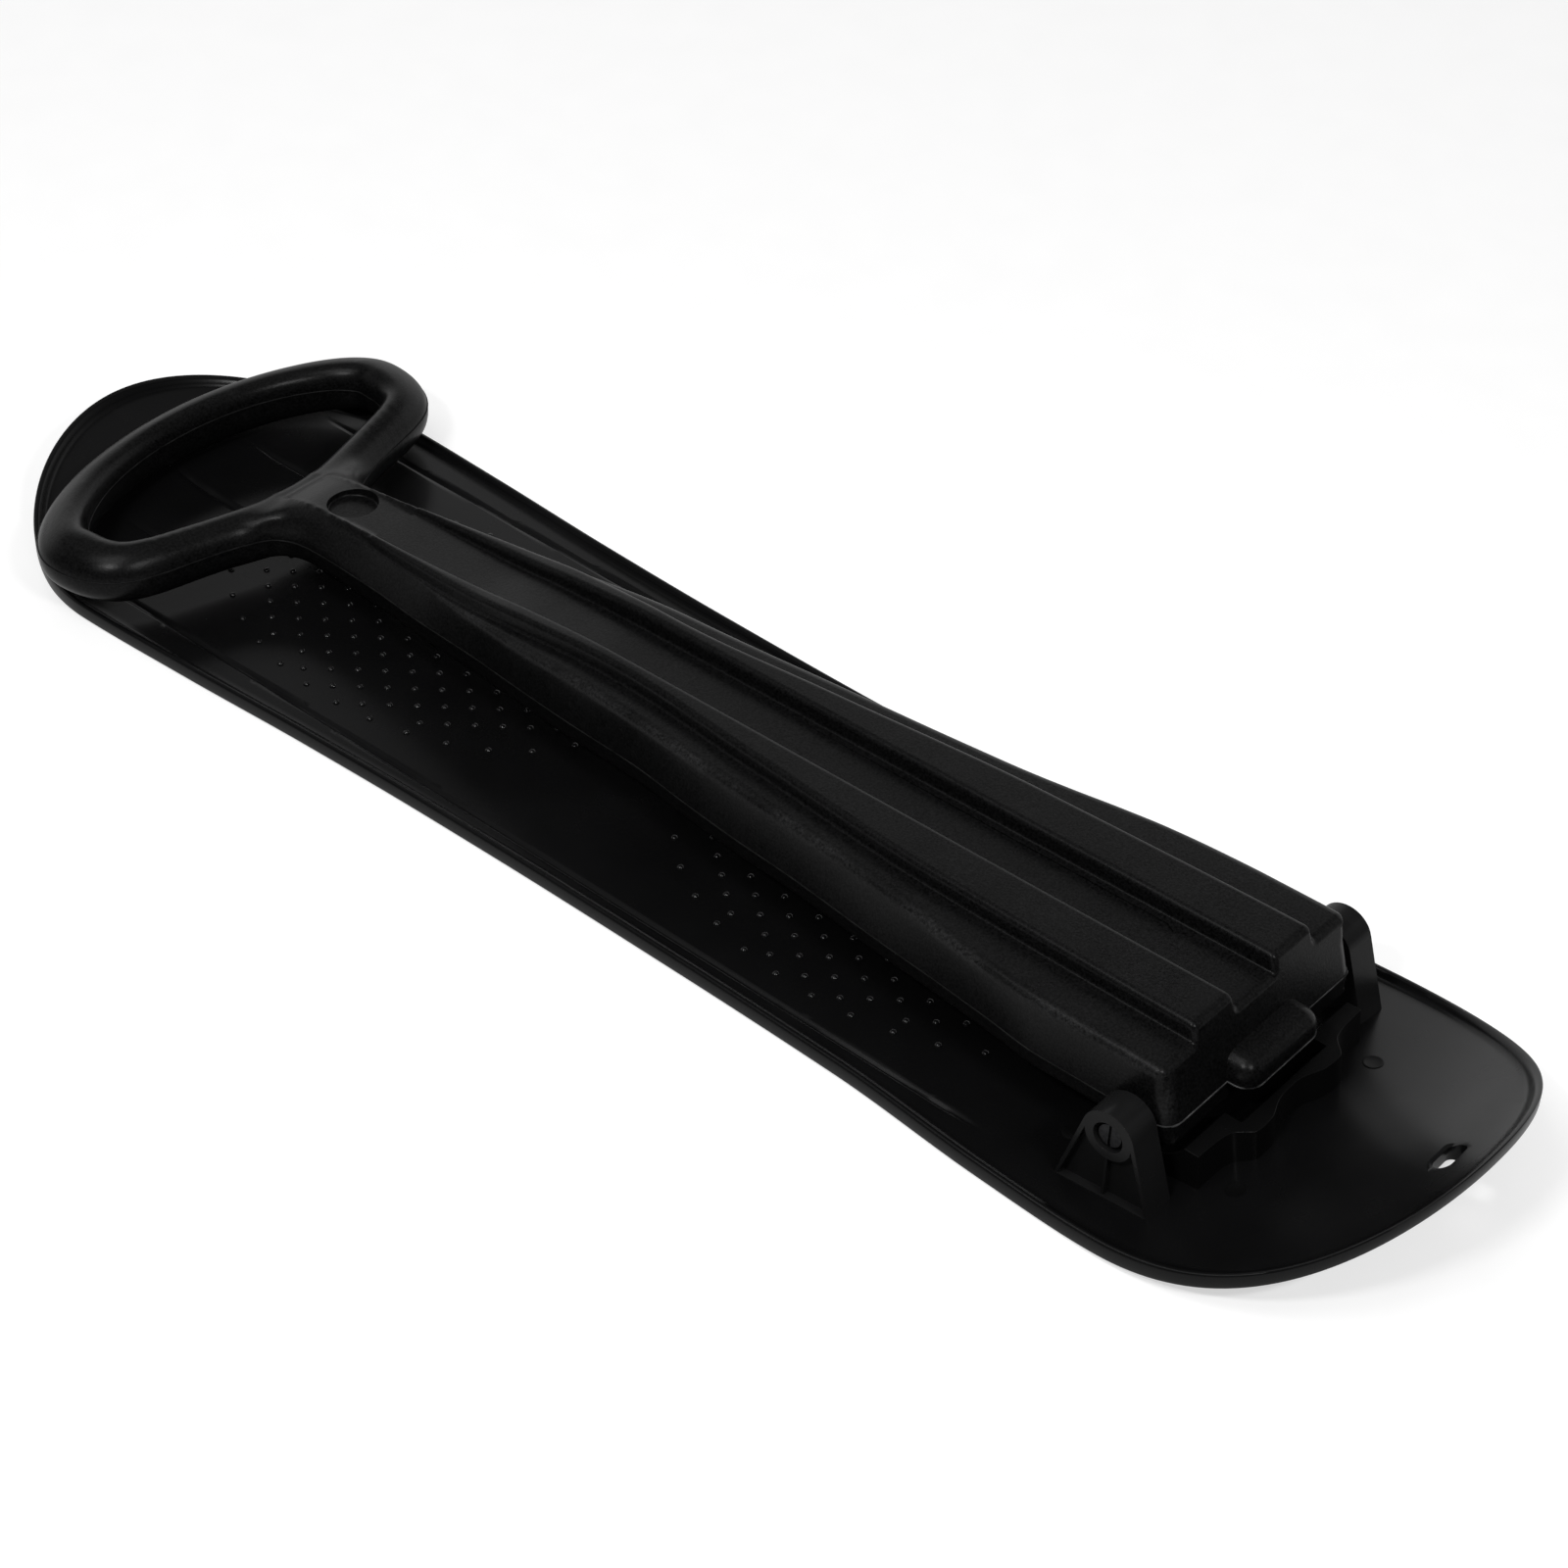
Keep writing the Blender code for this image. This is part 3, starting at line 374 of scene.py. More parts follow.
# %% A grid inside a loop
def grid_inside(name, loop):
    """A grid over the inside of the outline: corners on the rounded ends, every crossing a blend."""
    corner = across_count // 2
    ring = np.roll(loop, corner, 0)
    tail = ring[:across_count + 1]
    right = ring[across_count:across_count + along_count + 1]
    nose = ring[across_count + along_count:2 * across_count + along_count + 1][::-1]
    left = np.concatenate([ring[2 * across_count + along_count:], ring[:1]])[::-1]
    u = np.linspace(0, 1, across_count + 1)[None, :, None]
    v = np.linspace(0, 1, along_count + 1)[:, None, None]
    sides = (1 - v) * tail[None] + v * nose[None] + (1 - u) * left[:, None] + u * right[:, None]
    corners = ((1 - u) * (1 - v) * tail[0] + u * (1 - v) * tail[-1]
               + (1 - u) * v * nose[0] + u * v * nose[-1])
    flat = sides - corners
    rows = np.concatenate([flat, np.zeros(flat.shape[:2] + (1,))], 2)
    return laid_grid(name, rows)


def places_of(piece):
    """The places of a piece's points, one row each."""
    places = np.zeros(3 * len(piece.data.vertices), np.float32)
    piece.data.vertices.foreach_get("co", places)
    return places.reshape(-1, 3)


def raise_to(piece, height):
    """Moves each point to a height worked out from its place."""
    places = places_of(piece).astype(float)
    places[:, 2] = height(places[:, 0], places[:, 1])
    piece.data.vertices.foreach_set("co", places.astype(np.float32).reshape(-1))
    piece.data.update()


# %% Top of the board
inner_loop = inset(outline, rim_profile[-1][0])
top = grid_inside("top", inner_loop)
only(top)
bpy.ops.object.mode_set(mode="EDIT")
for place, _, _ in grooves:
    for side in ((1,) if place == 0 else (-1, 1)):
        for offset in (-1.0, -0.5, 0.0, 0.5, 1.0):
            x = side * place + offset * groove_width / 2
            bpy.ops.mesh.select_all(action="SELECT")
            bpy.ops.mesh.bisect(plane_co=(x, 0, 0), plane_no=(1, 0, 0), threshold=0.00001)
leave_edit()
raise_to(top, lambda x, y: ground(x, y) + plate - groove(x, y))
report(top)

# %% Underside, and the three sheets closed into one board
under = grid_inside("under", inset(outline, rim_profile[0][0]))
raise_to(under, ground)
board = join("board_shell", [rim, top, under])
close_up(board)
report(board)

# %% [markdown]
# ## The rope hole
#
# A cord can be tied through an oblong hole in the nose. The cutter is a cylinder pulled apart at its
# middle, so its ends stay round.

# %% Rope hole
hole_from_tip, hole_half, hole_round = 0.0243, 0.010, 0.0045
collar_wall, collar_depth = 0.0022, 0.0085
cutter_reach = 0.015
hole_y = hole_from_tip - half_length
hole_z = float(ground(0.0, hole_y)) + plate / 2


def oblong(name, reach, radius, low, high):
    """An upright oblong plug at the rope hole."""
    plug = fresh(bpy.ops.mesh.primitive_cylinder_add, vertices=48, radius=radius, depth=high - low)
    plug.name = name
    for vertex in plug.data.vertices:
        vertex.co.x += math.copysign(reach - radius, vertex.co.x)
        vertex.co.y += hole_y
        vertex.co.z += hole_z + (low + high) / 2
    return plug


collar = oblong("collar", hole_half + collar_wall, hole_round + collar_wall, -collar_depth, 0.0)
combine(board, collar, "UNION")
combine(board, oblong("cutter", hole_half, hole_round, -cutter_reach, cutter_reach), "DIFFERENCE")
report(board)

# %% Soft edge of the rope hole
hole_soft, hole_slack, top_slack = 0.0009, 0.0005, 0.0006


def on_upper_edge(edge):
    """Whether an edge is a sharp one of the hole's upper opening."""
    for co in (v.co for v in edge.verts):
        if abs(co.x) >= hole_half + hole_slack or abs(co.y - hole_y) >= hole_round + hole_slack:
            return False
        if co.z <= deck_height(co.x, co.y) - top_slack:
            return False
    return len(edge.link_faces) == 2 and edge.calc_face_angle(0) > math.radians(35)


print("upper edge of the hole", select_where(board, "EDGE", on_upper_edge), "edges")
bpy.ops.mesh.bevel(offset=hole_soft, segments=3, affect="EDGES", clamp_overlap=True)
leave_edit()
smooth_by_angle(board, 40)
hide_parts("deck")
report(board)

# %% [markdown]
# ## Ears and platform
#
# Two ears carry the pivot, and between them a low platform has scoops in which the handle's foot turns.
# Their shape is already exact in the solid, so the plate is deleted from a copy of it, what is left gets
# a short skirt that reaches down into the board, and the sharp edges get a moulding's small radius.

# %% Copy of the solid without its plate
block_half, block_front, block_back = 0.0990, -0.3800, -0.2850
over_plate, skirt = 0.0006, 0.002
block = plain_copy(nodes["deck"], "pivot_block")
close_up(block)
edit_all(block)
bpy.ops.mesh.dissolve_limited(angle_limit=math.radians(0.4))
bpy.ops.mesh.select_all(action="DESELECT")
leave_edit()
above = [co.z > deck_height(co.x, co.y) + over_plate for co in (v.co for v in block.data.vertices)]
in_reach = [abs(v.co.x) < block_half and block_front < v.co.y < block_back for v in block.data.vertices]
for face in block.data.polygons:
    face.select = not (any(above[i] for i in face.vertices) and all(in_reach[i] for i in face.vertices))
bpy.ops.object.mode_set(mode="EDIT")
bpy.ops.mesh.delete(type="FACE")
bpy.ops.mesh.select_all(action="DESELECT")
bpy.ops.mesh.select_non_manifold(extend=False)
bpy.ops.mesh.extrude_region_move(TRANSFORM_OT_translate={"value": (0, 0, -skirt)})
leave_edit()
report(block)

# %% Rounded edges
platform_soft, ear_soft, between_ears = 0.0015, 0.0006, 0.0760
only(block)
bpy.ops.object.mode_set(mode="EDIT")
bpy.ops.mesh.select_mode(type="EDGE")
bpy.ops.mesh.select_all(action="DESELECT")
shape = bmesh.from_edit_mesh(block.data)
weights = shape.edges.layers.float.new("bevel_weight_edge")
for edge in shape.edges:
    if len(edge.link_faces) == 2 and edge.calc_face_angle(0) > math.radians(28):
        on_platform = all(abs(v.co.x) < between_ears for v in edge.verts)
        edge[weights] = 1.0 if on_platform else ear_soft / platform_soft
bmesh.update_edit_mesh(block.data)
leave_edit()
bevel = block.modifiers.new("soft edges", "BEVEL")
bevel.width = platform_soft
bevel.segments = 4
bevel.limit_method = "WEIGHT"
bevel.use_clamp_overlap = True
apply_modifiers(block)
smooth_with_flats(block, 32)
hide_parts("deck")
report(block)

# %% [markdown]
# ## The handle's body
#
# The handle is blown like a bottle: a long tapering box with two ribs on its back. Across it the shape
# is always the same outline, half of it mirrored, with eight corners that are rounded by different
# amounts. Tables give how wide and high each part of that outline is along the handle, as shares of
# the foot's half width and of the ribs' height.

# %% Handle sizes
pivot = Vector((0.0, -0.3283, 0.0462))
handle_length = 0.7635
foot_half, foot_end, foot_bottom, foot_level = 0.0753, 0.0194, 0.0328, 0.0406
rib_rise, rib_step, rib_inner, rib_draft = 0.0401, 0.0087, 0.0155, 0.0012
rib_soft, valley_soft, shoulder_soft, flank_soft = 0.0034, 0.0014, 0.0055, 0.0060
parting_soft, bottom_soft, bottom_inset = 0.0004, 0.0045, 0.0025
ring_height, ring_length = 0.0330, 0.1282
tube_half_width, tube_half_height = 0.0160, 0.0152
body_reach, neck_depth = 0.965, 0.85
body_end = 1 - body_reach * ring_length / handle_length
neck_bottom = ring_height - tube_half_height * neck_depth
level_share = foot_level / handle_length

# rows: share of the length, then the share of the foot's half width or of the rib's height or step
parting_width = (
    (-0.03, 1.0), (0.074, 1.0), (0.118, 0.948), (0.166, 0.894), (0.214, 0.848), (0.301, 0.748),
    (0.349, 0.711), (0.400, 0.653), (0.451, 0.587), (0.508, 0.556), (0.562, 0.514), (0.616, 0.462),
    (0.670, 0.429), (0.727, 0.372), (0.778, 0.353), (0.800, 0.359), (0.814, 0.413), (0.824, 0.508),
    (0.829, 0.660), (0.842, 0.700))
shoulder_width = (
    (-0.03, 0.985), (0.043, 0.982), (0.081, 0.970), (0.118, 0.945), (0.154, 0.896), (0.189, 0.835),
    (0.226, 0.780), (0.264, 0.742), (0.304, 0.705), (0.344, 0.672), (0.385, 0.638), (0.428, 0.600),
    (0.480, 0.560), (0.529, 0.530), (0.581, 0.485), (0.638, 0.405), (0.697, 0.310), (0.760, 0.272),
    (0.790, 0.280), (0.814, 0.320), (0.829, 0.480), (0.842, 0.560))
rib_width = (
    (-0.03, 0.638), (0.193, 0.590), (0.360, 0.460), (0.493, 0.358), (0.589, 0.368), (0.640, 0.350),
    (0.709, 0.292), (0.766, 0.238), (0.842, 0.238))
rib_height = (
    (-0.03, 1.0), (0.193, 0.985), (0.502, 0.975), (0.583, 0.888), (0.634, 0.788), (0.697, 0.696),
    (0.766, 0.603), (0.805, 0.530), (0.824, 0.445), (0.842, 0.330))
shoulder_drop = ((-0.03, 1.0), (0.64, 1.0), (0.74, 0.75), (0.80, 0.35), (0.842, 0.20))
channel_drop = ((-0.03, 1.0), (0.50, 1.0), (0.62, 0.75), (0.74, 0.30), (0.80, 0.10), (0.842, 0.10))


# %% One rounded outline across the handle
corner_steps = 7


def rounded(corners):
    """A line through corners, each given with how far its rounding reaches back along both sides."""
    points = [corners[0][0]]
    for (before, _), (here, reach), (after, _) in zip(corners, corners[1:], corners[2:]):
        start = here + (before - here) * min(0.48, reach / max((before - here).length, 0.0001))
        end = here + (after - here) * min(0.48, reach / max((after - here).length, 0.0001))
        for t in np.linspace(0, 1, corner_steps):
            points.append(start * (1 - t) ** 2 + here * (2 * t * (1 - t)) + end * t ** 2)
    return points + [corners[-1][0]]


def heights(share):
    """Height of the parting line, of the ribs' top and of the shoulder."""
    parting_z = pivot.z + (ring_height - pivot.z) * max(0.0, share)
    top = parting_z + rib_rise * between(rib_height, share)
    return parting_z, top, top - rib_step * between(shoulder_drop, share)


def handle_section(share):
    """Half outline from the middle of the underside round to the middle of the channel."""
    parting = foot_half * between(parting_width, share)
    shoulder = foot_half * between(shoulder_width, share)
    rib_outer = foot_half * between(rib_width, share)
    draft = min(rib_draft, (rib_outer - rib_inner) * 0.2)
    parting_z, top, shoulder_z = heights(share)
    past_level = max(0.0, share - level_share)
    bottom = foot_bottom + (neck_bottom - foot_bottom) * past_level / (body_end - level_share)
    channel_z = top - rib_step * between(channel_drop, share)
    soft = min(shoulder_soft, (shoulder - rib_outer) * 0.7)
    out = soft * 0.12
    middle_z = (parting_z + shoulder_z) / 2
    return rounded([
        (Vector((0.0, bottom)), 0), (Vector((parting - bottom_inset, bottom)), bottom_soft),
        (Vector((parting, parting_z)), parting_soft),
        (Vector(((parting + shoulder + out) / 2 + 0.0002, middle_z)), flank_soft),
        (Vector((shoulder + out, shoulder_z)), soft), (Vector((rib_outer, shoulder_z)), valley_soft),
        (Vector((rib_outer - draft, top)), rib_soft), (Vector((rib_inner + draft, top)), rib_soft),
        (Vector((rib_inner, channel_z)), valley_soft), (Vector((0.0, channel_z)), 0)])


# %% [markdown]
# The end of the foot is a face that stands upright below the mould line and leans back above it, so
# that the foot clears the platform when it turns. Its edges are generously rounded, most of all the two
# upright corners. The rounding is built like the rim of the board: the last rows of the body step
# inwards by a quarter circle while they step forwards.

# %% The foot's rounded end
lean_back = 0.0091
end_y = pivot.y - foot_end
lean = lean_back / (rib_rise - rib_step)
shoulder_share = -foot_end / handle_length
end_section = handle_section(shoulder_share)
count = len(end_section)
outline_places = np.array(end_section)

# the middle of the outline's second corner
parting_index = 1 + corner_steps + corner_steps // 2


def inward(points):
    """Unit vectors that point into the outline."""
    before = np.concatenate([points[:1] * (-1, 1), points[:-1]])
    after = np.concatenate([points[1:], points[-1:] * (-1, 1)])
    before[0] = points[1] * (-1, 1)
    after[-1] = points[-2] * (-1, 1)
    along = after - before
    normal = np.stack([-along[:, 1], along[:, 0]], 1)
    return normal / np.maximum(np.linalg.norm(normal, axis=1), 1e-9)[:, None]


inwards = inward(outline_places)

# how deep the end is rounded: at the underside, up the flanks, at the shoulders and on the ribs
end_depths = ((6, 0.0030), (23, 0.0095), (31, 0.0040), (count, 0.0034))
steps_of_rounding = [next(depth for stop, depth in end_depths if i < stop) for i in range(count)]
kernel = np.ones(7) / 7
end_round = np.convolve(np.pad(steps_of_rounding, 3, mode="edge"), kernel, "valid")
print("end outline", count, "points, parting point", outline_places[parting_index].round(4))

end_rows = []
for angle in np.linspace(math.pi / 2, 0, 8):
    step_in = (1 - math.cos(angle)) * end_round
    spots = outline_places + inwards * step_in[:, None]
    y = end_y + lean * np.maximum(0.0, spots[:, 1] - pivot.z) + end_round * (1 - math.sin(angle))
    end_rows.append(np.stack([spots[:, 0], y, spots[:, 1]], 1))

# %% From the rounded end to straight rows
straight_after = 0.030
straight_y = end_y + straight_after
section_cache = {}


def section_at(y):
    key = round(y, 4)
    if key not in section_cache:
        section_cache[key] = np.array(handle_section((key - pivot.y) / handle_length))
    return section_cache[key]


start_y = end_rows[-1][:, 1]
for t in np.linspace(0, 1, 7)[1:]:
    y = start_y + (straight_y - start_y) * t
    spots = np.array([section_at(place)[i] for i, place in enumerate(y)])
    end_rows.append(np.stack([spots[:, 0], y, spots[:, 1]], 1))
print("end rows", len(end_rows))

# %% Body laid out along the handle
cut_y, bridge_gap = 0.2350, 0.0015
body_end_y = pivot.y + handle_length * body_end


def straight_rows(start, end, row_count):
    rows = []
    for y in np.linspace(start, end, row_count):
        half = np.array(handle_section((y - pivot.y) / handle_length))
        rows.append(np.stack([half[:, 0], np.full(len(half), y), half[:, 1]], 1))
    return rows


def whole(half):
    """A half row and its mirror image, as one closed row."""
    return np.concatenate([half, (half * (-1, 1, 1))[::-1][1:]])


front_rows = end_rows + straight_rows(straight_y, cut_y - bridge_gap, 190)[1:]
body = laid_grid("body", [whole(half) for half in front_rows])
close_up(body)
report(body)

# %% Close the end face
end_zone = 0.02
end_edges = select_where(body, "EDGE", lambda e: e.is_boundary and middle(e).y < end_y + end_zone)
print("end border", end_edges, "edges")
bpy.ops.mesh.edge_face_add()
parting_place = Vector(end_rows[0][parting_index])
same_place = 0.0001
select_where(body, "VERT", lambda v: all(
    abs(c - at) < same_place for c, at in zip((abs(v.co.x), v.co.y, v.co.z), parting_place)))
bpy.ops.mesh.vert_connect()
leave_edit()
report(body)

# %% [markdown]
# ## The bump
#
# A small block on the foot's end drops into the platform when the handle stands up. Its outer edges are
# rounded like a bar of soap, so one wide bevel does most of the work. A union makes it one with the foot.

# %% Bump on the foot's end
bump_half, bump_rise, bump_reach, bump_round = 0.0300, 0.0138, 0.0323, 0.0095
bump_overlap = 0.0060
bump = fresh(bpy.ops.mesh.primitive_cube_add, size=1)
bump_depth = bump_reach - foot_end + bump_overlap
bump_place = (0, pivot.y - bump_reach + bump_depth / 2, pivot.z + bump_rise / 2)
bump_size = Matrix.Diagonal((2 * bump_half, bump_depth, bump_rise, 1))
bump.data.transform(Matrix.Translation(bump_place) @ bump_size)
bpy.ops.object.mode_set(mode="EDIT")
shape = bmesh.from_edit_mesh(bump.data)
for edge in shape.edges:
    ends = [v.co for v in edge.verts]
    in_front = all(co.y < end_y for co in ends)
    upright = abs(ends[0].z - ends[1].z) > bump_rise / 2
    upper = all(co.z > pivot.z + bump_rise / 2 for co in ends)
    sideways = upper and abs(ends[0].y - ends[1].y) > bump_depth / 2
    edge.select_set((in_front and (upright or upper)) or sideways)
bmesh.update_edit_mesh(bump.data)
bpy.ops.mesh.bevel(offset=bump_round, segments=8, profile=0.5, affect="EDGES", clamp_overlap=True)
leave_edit()
report(bump)
combine(body, bump, "UNION")
report(body)

# %% [markdown]
# ## The grip ring
#
# The grip is a closed tube, thicker at its sides, whose top slopes outwards so that a glove rolls
# round it. Its underside stays level and is a little deeper, and the rear of the grip hangs a few
# millimetres lower than its sides. The centre line is a smooth curve through a few points, and the
# tube's section is laid across it at each step.

# %% Grip ring
ring_half, ring_top_y = 0.1312, pivot.y + handle_length
tube_slope, tube_deeper_below, tube_power = 0.25, 1.12, 2.2
ring_rear_drop, ring_drop_start = 0.0050, 0.60

# rows: shares of the grip's half width, of its length from the rear, and of the tube's half width
ring_line = (
    (0.0, 0.089, 0.71), (0.205, 0.102, 0.71), (0.437, 0.151, 0.74), (0.639, 0.235, 0.79),
    (0.800, 0.344, 0.86), (0.891, 0.468, 0.94), (0.896, 0.566, 1.0), (0.878, 0.670, 0.94),
    (0.814, 0.768, 0.83), (0.678, 0.830, 0.74), (0.508, 0.875, 0.74), (0.305, 0.938, 0.76),
    (0.153, 0.973, 0.75), (0.0, 0.989, 0.75))


def ring_centre(steps=240):
    """Closed centre line of the grip with the tube's half width."""
    half = [Vector((x * ring_half, ring_top_y - back * ring_length, wide * tube_half_width))
            for x, back, wide in ring_line]
    knots = half + [Vector((-p.x, p.y, p.z)) for p in reversed(half[1:-1])]
    knot_count = len(knots)
    line = []
    for place in np.linspace(0, knot_count, steps, endpoint=False):
        i = int(place)
        t = place - i
        a, b, c, d = (knots[(i + j) % knot_count] for j in (-1, 0, 1, 2))
        line.append(b + (c - a) * (t / 2) + (a * 2 - b * 5 + c * 4 - d) * (t * t / 2)
                    + (b * 3 - a - c * 3 + d) * (t ** 3 / 2))
    return line


def averaged(line, reach=4):
    """Each point becomes the mean of its neighbours, which takes small waves out of a closed line."""
    count = len(line)
    return [sum((line[(i + j) % count] for j in range(-reach, reach + 1)), Vector()) / (2 * reach + 1)
            for i in range(count)]


centre = averaged(ring_centre())
ring_rows = []
for i, point in enumerate(centre):
    along = centre[(i + 1) % len(centre)] - centre[i - 1]
    out = Vector((-along.y, along.x, 0.0)).normalized()
    back = (ring_top_y - point.y) / ring_length
    height = ring_height - ring_rear_drop * smooth_step(1 - back / ring_drop_start)
    row = []
    for angle in np.linspace(0, 2 * math.pi, 41):
        wide = math.copysign(abs(math.cos(angle)) ** (2 / tube_power), math.cos(angle)) * point.z
        tall = math.copysign(abs(math.sin(angle)) ** (2 / tube_power), math.sin(angle))
        rise = tall * tube_half_height * (tube_deeper_below if tall < 0 else 1)
        slope = tube_slope * (1 + tall) / 2
        spot = Vector((point.x, point.y, height + rise - wide * slope)) + out * wide
        row.append(tuple(spot))
    ring_rows.append(row)
ring = laid_grid("ring", ring_rows + ring_rows[:1])
close_up(ring)
report(ring)

# %% [markdown]
# ## The neck melts into the grip
#
# Where the body meets the ring the blown plastic flows. The end of the body and the ring are remeshed
# into one even skin, which swallows what lies inside, and then smoothed: a little everywhere, and many
# times in the two hollows beside the neck.

# %% Neck and grip as one skin
neck_start, skin_voxel = 0.1900, 0.00125
neck = laid_grid("neck", [whole(half) for half in straight_rows(neck_start, body_end_y, 60)])
close_up(neck)
select_where(neck, "EDGE", lambda edge: edge.is_boundary)
bpy.ops.mesh.fill_holes(sides=0)
leave_edit()
neck = join("neck_and_grip", [neck, ring])
remesh = neck.modifiers.new("skin", "REMESH")
remesh.mode = "VOXEL"
remesh.voxel_size = skin_voxel
apply_modifiers(neck)
report(neck)


def soften(piece, keep, repeat):
    """Smooths the points that keep says."""
    select_where(piece, "VERT", keep)
    bpy.ops.mesh.vertices_smooth(factor=0.5, repeat=repeat)
    leave_edit()


grip_start = 0.262
soften(neck, lambda v: v.co.y > neck_start, 2)
soften(neck, lambda v: v.co.y > grip_start, 6)

# the two hollows beside the neck, each time in a smaller window
for shrink in np.linspace(0, 1, 5):
    low, high = 0.250 + 0.025 * shrink, 0.350 - 0.020 * shrink
    inner, outer = 0.0185 - 0.003 * shrink, 0.090 - 0.028 * shrink
    soften(neck, lambda v: low < v.co.y < high and inner < abs(v.co.x) < outer, 12)
edit_all(neck)
bpy.ops.mesh.bisect(plane_co=(0, cut_y, 0), plane_no=(0, -1, 0), clear_outer=True)
leave_edit()
report(neck)

# %% Body and neck bridged
handle = join("handle_shell", [body, neck])
near_cut = 0.01
border = select_where(handle, "EDGE", lambda e: e.is_boundary and abs(middle(e).y - cut_y) < near_cut)
print("borders", border, "edges")
bpy.ops.mesh.bridge_edge_loops()
leave_edit()
report(handle)

# %% [markdown]
# ## Recess at the neck and panel in the channel
#
# A round recess with a crisp edge is cut after the smoothing, or it would melt as well. The panel that
# lies along the channel is under a millimetre deep. It has rounded corners at the foot and runs out
# towards the neck, where its floor comes up to the channel's.

# %% Neck recess
recess_from_pivot, recess_radius, recess_depth, recess_soft = 0.5959, 0.0145, 0.0050, 0.0012
cutter_height = 0.030
recess_y = pivot.y + recess_from_pivot
recess_floor = handle_section(recess_from_pivot / handle_length)[-1].y - recess_depth
cutter = fresh(bpy.ops.mesh.primitive_cylinder_add,
               vertices=96, radius=recess_radius, depth=cutter_height)
cutter.data.transform(Matrix.Translation((0, recess_y, recess_floor + cutter_height / 2)))
select_where(cutter, "FACE", lambda face: face.normal.z < -0.9)
bpy.ops.mesh.bevel(offset=recess_soft, segments=3, affect="EDGES")
leave_edit()
combine(handle, cutter, "DIFFERENCE")

# %% Channel panel
panel_half, panel_depth, panel_start, panel_end = 0.0110, 0.0008, -0.2850, 0.0300
panel_corner, panel_fade, panel_lift, slab_height = 0.0030, 0.22, 0.15, 0.004
panel_rows = []
for y in np.linspace(panel_start, panel_end, 60):
    floor_z = handle_section((y - pivot.y) / handle_length)[-1].y
    sunk = smooth_step((panel_end - y) / panel_fade)
    floor_z -= panel_depth * ((1 + panel_lift) * sunk - panel_lift)
    short = max(0.0, panel_corner - (y - panel_start))
    half_width = panel_half - panel_corner + math.sqrt(max(0.0, panel_corner ** 2 - short ** 2))
    panel_rows.append([(side * half_width, y, floor_z) for side in (-1, -0.5, 0, 0.5, 1)])
slab = laid_grid("slab", panel_rows)
edit_all(slab)
bpy.ops.mesh.extrude_region_move(TRANSFORM_OT_translate={"value": (0, 0, slab_height)})
bpy.ops.mesh.select_all(action="SELECT")
bpy.ops.mesh.normals_make_consistent(inside=False)
leave_edit()
combine(handle, slab, "DIFFERENCE")
smooth_with_flats(handle, 42)
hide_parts("handle")
report(handle)

# %% [markdown]
# ## Scuffs and painted highlights
#
# The handle rubs where it is carried: along its shoulders, and at the foot's two front corners, the skin
# is frosted by fine scratches. The same paler band also stands in for light: along the shoulders it is
# partly wear and partly a painted highlight, and on the foot's rounded corners it is mostly a painted
# highlight. How near each point lies to these edges is written down as an attribute, which the material
# reads later on, so that the band follows the edge however it bends.

# %% Where the skin is worn, and where highlights are painted
shoulder_reach, shoulder_inset = 0.0034, 0.0012
corner_reach, corner_in, corner_back = 0.0042, 0.0035, 0.0045
stations = np.linspace(end_y, body_end_y, 300)
shoulder_line = []
for y in stations:
    share = (y - pivot.y) / handle_length
    half_width = foot_half * between(shoulder_width, share)
    shoulder_line.append((half_width, heights(share)[2] - shoulder_inset))
shoulder_line = np.array(shoulder_line)
places = places_of(handle)
gap_x = np.abs(places[:, 0]) - np.interp(places[:, 1], stations, shoulder_line[:, 0])
gap_z = places[:, 2] - np.interp(places[:, 1], stations, shoulder_line[:, 1])
fade = smooth_step((0.24 - places[:, 1]) / 0.20) * 0.7 + 0.3
wear_and_highlight = np.exp(-(gap_x ** 2 + gap_z ** 2) / shoulder_reach ** 2) * fade
# Each front corner of the foot gets a patch that is mostly a painted highlight on its rounding, with some
# wear.
corner_x = np.abs(places[:, 0]) - (foot_half - corner_in)
corner_y = places[:, 1] - (end_y + corner_back)
above_parting = smooth_step((places[:, 2] - 0.047) / 0.010)
corner_highlight_and_wear = np.exp(-(corner_x ** 2 + corner_y ** 2) / corner_reach ** 2) * above_parting
wear_and_highlight = np.maximum(wear_and_highlight, 1.3 * corner_highlight_and_wear)
scuff_and_highlight = handle.data.attributes.new("scuff_and_highlight", "FLOAT", "POINT")
scuff_and_highlight.data.foreach_set("value", wear_and_highlight.astype(np.float32))
print("worn points", int((wear_and_highlight > 0.5).sum()), "of", len(wear_and_highlight))

# %% [markdown]
# ## The mould line
#
# Where the two halves of the blow mould met, a thin raised line runs round the whole handle. A plane
# along the handle cuts a copy of the skin, only the cut line is kept, and it gets a tiny round section.

# %% Mould line
line_radius, line_merge = 0.00050, 0.0003
seam = plain_copy(handle, "handle_mould_line")
edit_all(seam)
fall = (pivot.z - ring_height) / handle_length
bpy.ops.mesh.bisect(plane_co=pivot, plane_no=Vector((0, fall, 1)).normalized(),
                    clear_inner=True, clear_outer=True)
bpy.ops.mesh.select_all(action="SELECT")
bpy.ops.mesh.remove_doubles(threshold=line_merge)
leave_edit()
bpy.ops.object.convert(target="CURVE")
seam = bpy.context.object
print("mould line", len(seam.data.splines), "loops")
seam.data.bevel_depth = line_radius
seam.data.bevel_resolution = 1
bpy.ops.object.convert(target="MESH")
seam = bpy.context.object
bpy.ops.object.shade_smooth()
report(seam)

# %% [markdown]
# ## Anti-slip dots
#
# Two oval fields of small domes keep boots from sliding. Each field has one row of dots on its border
# and a staggered grid inside. The dots lie on the deck, so their height comes from the same formula.

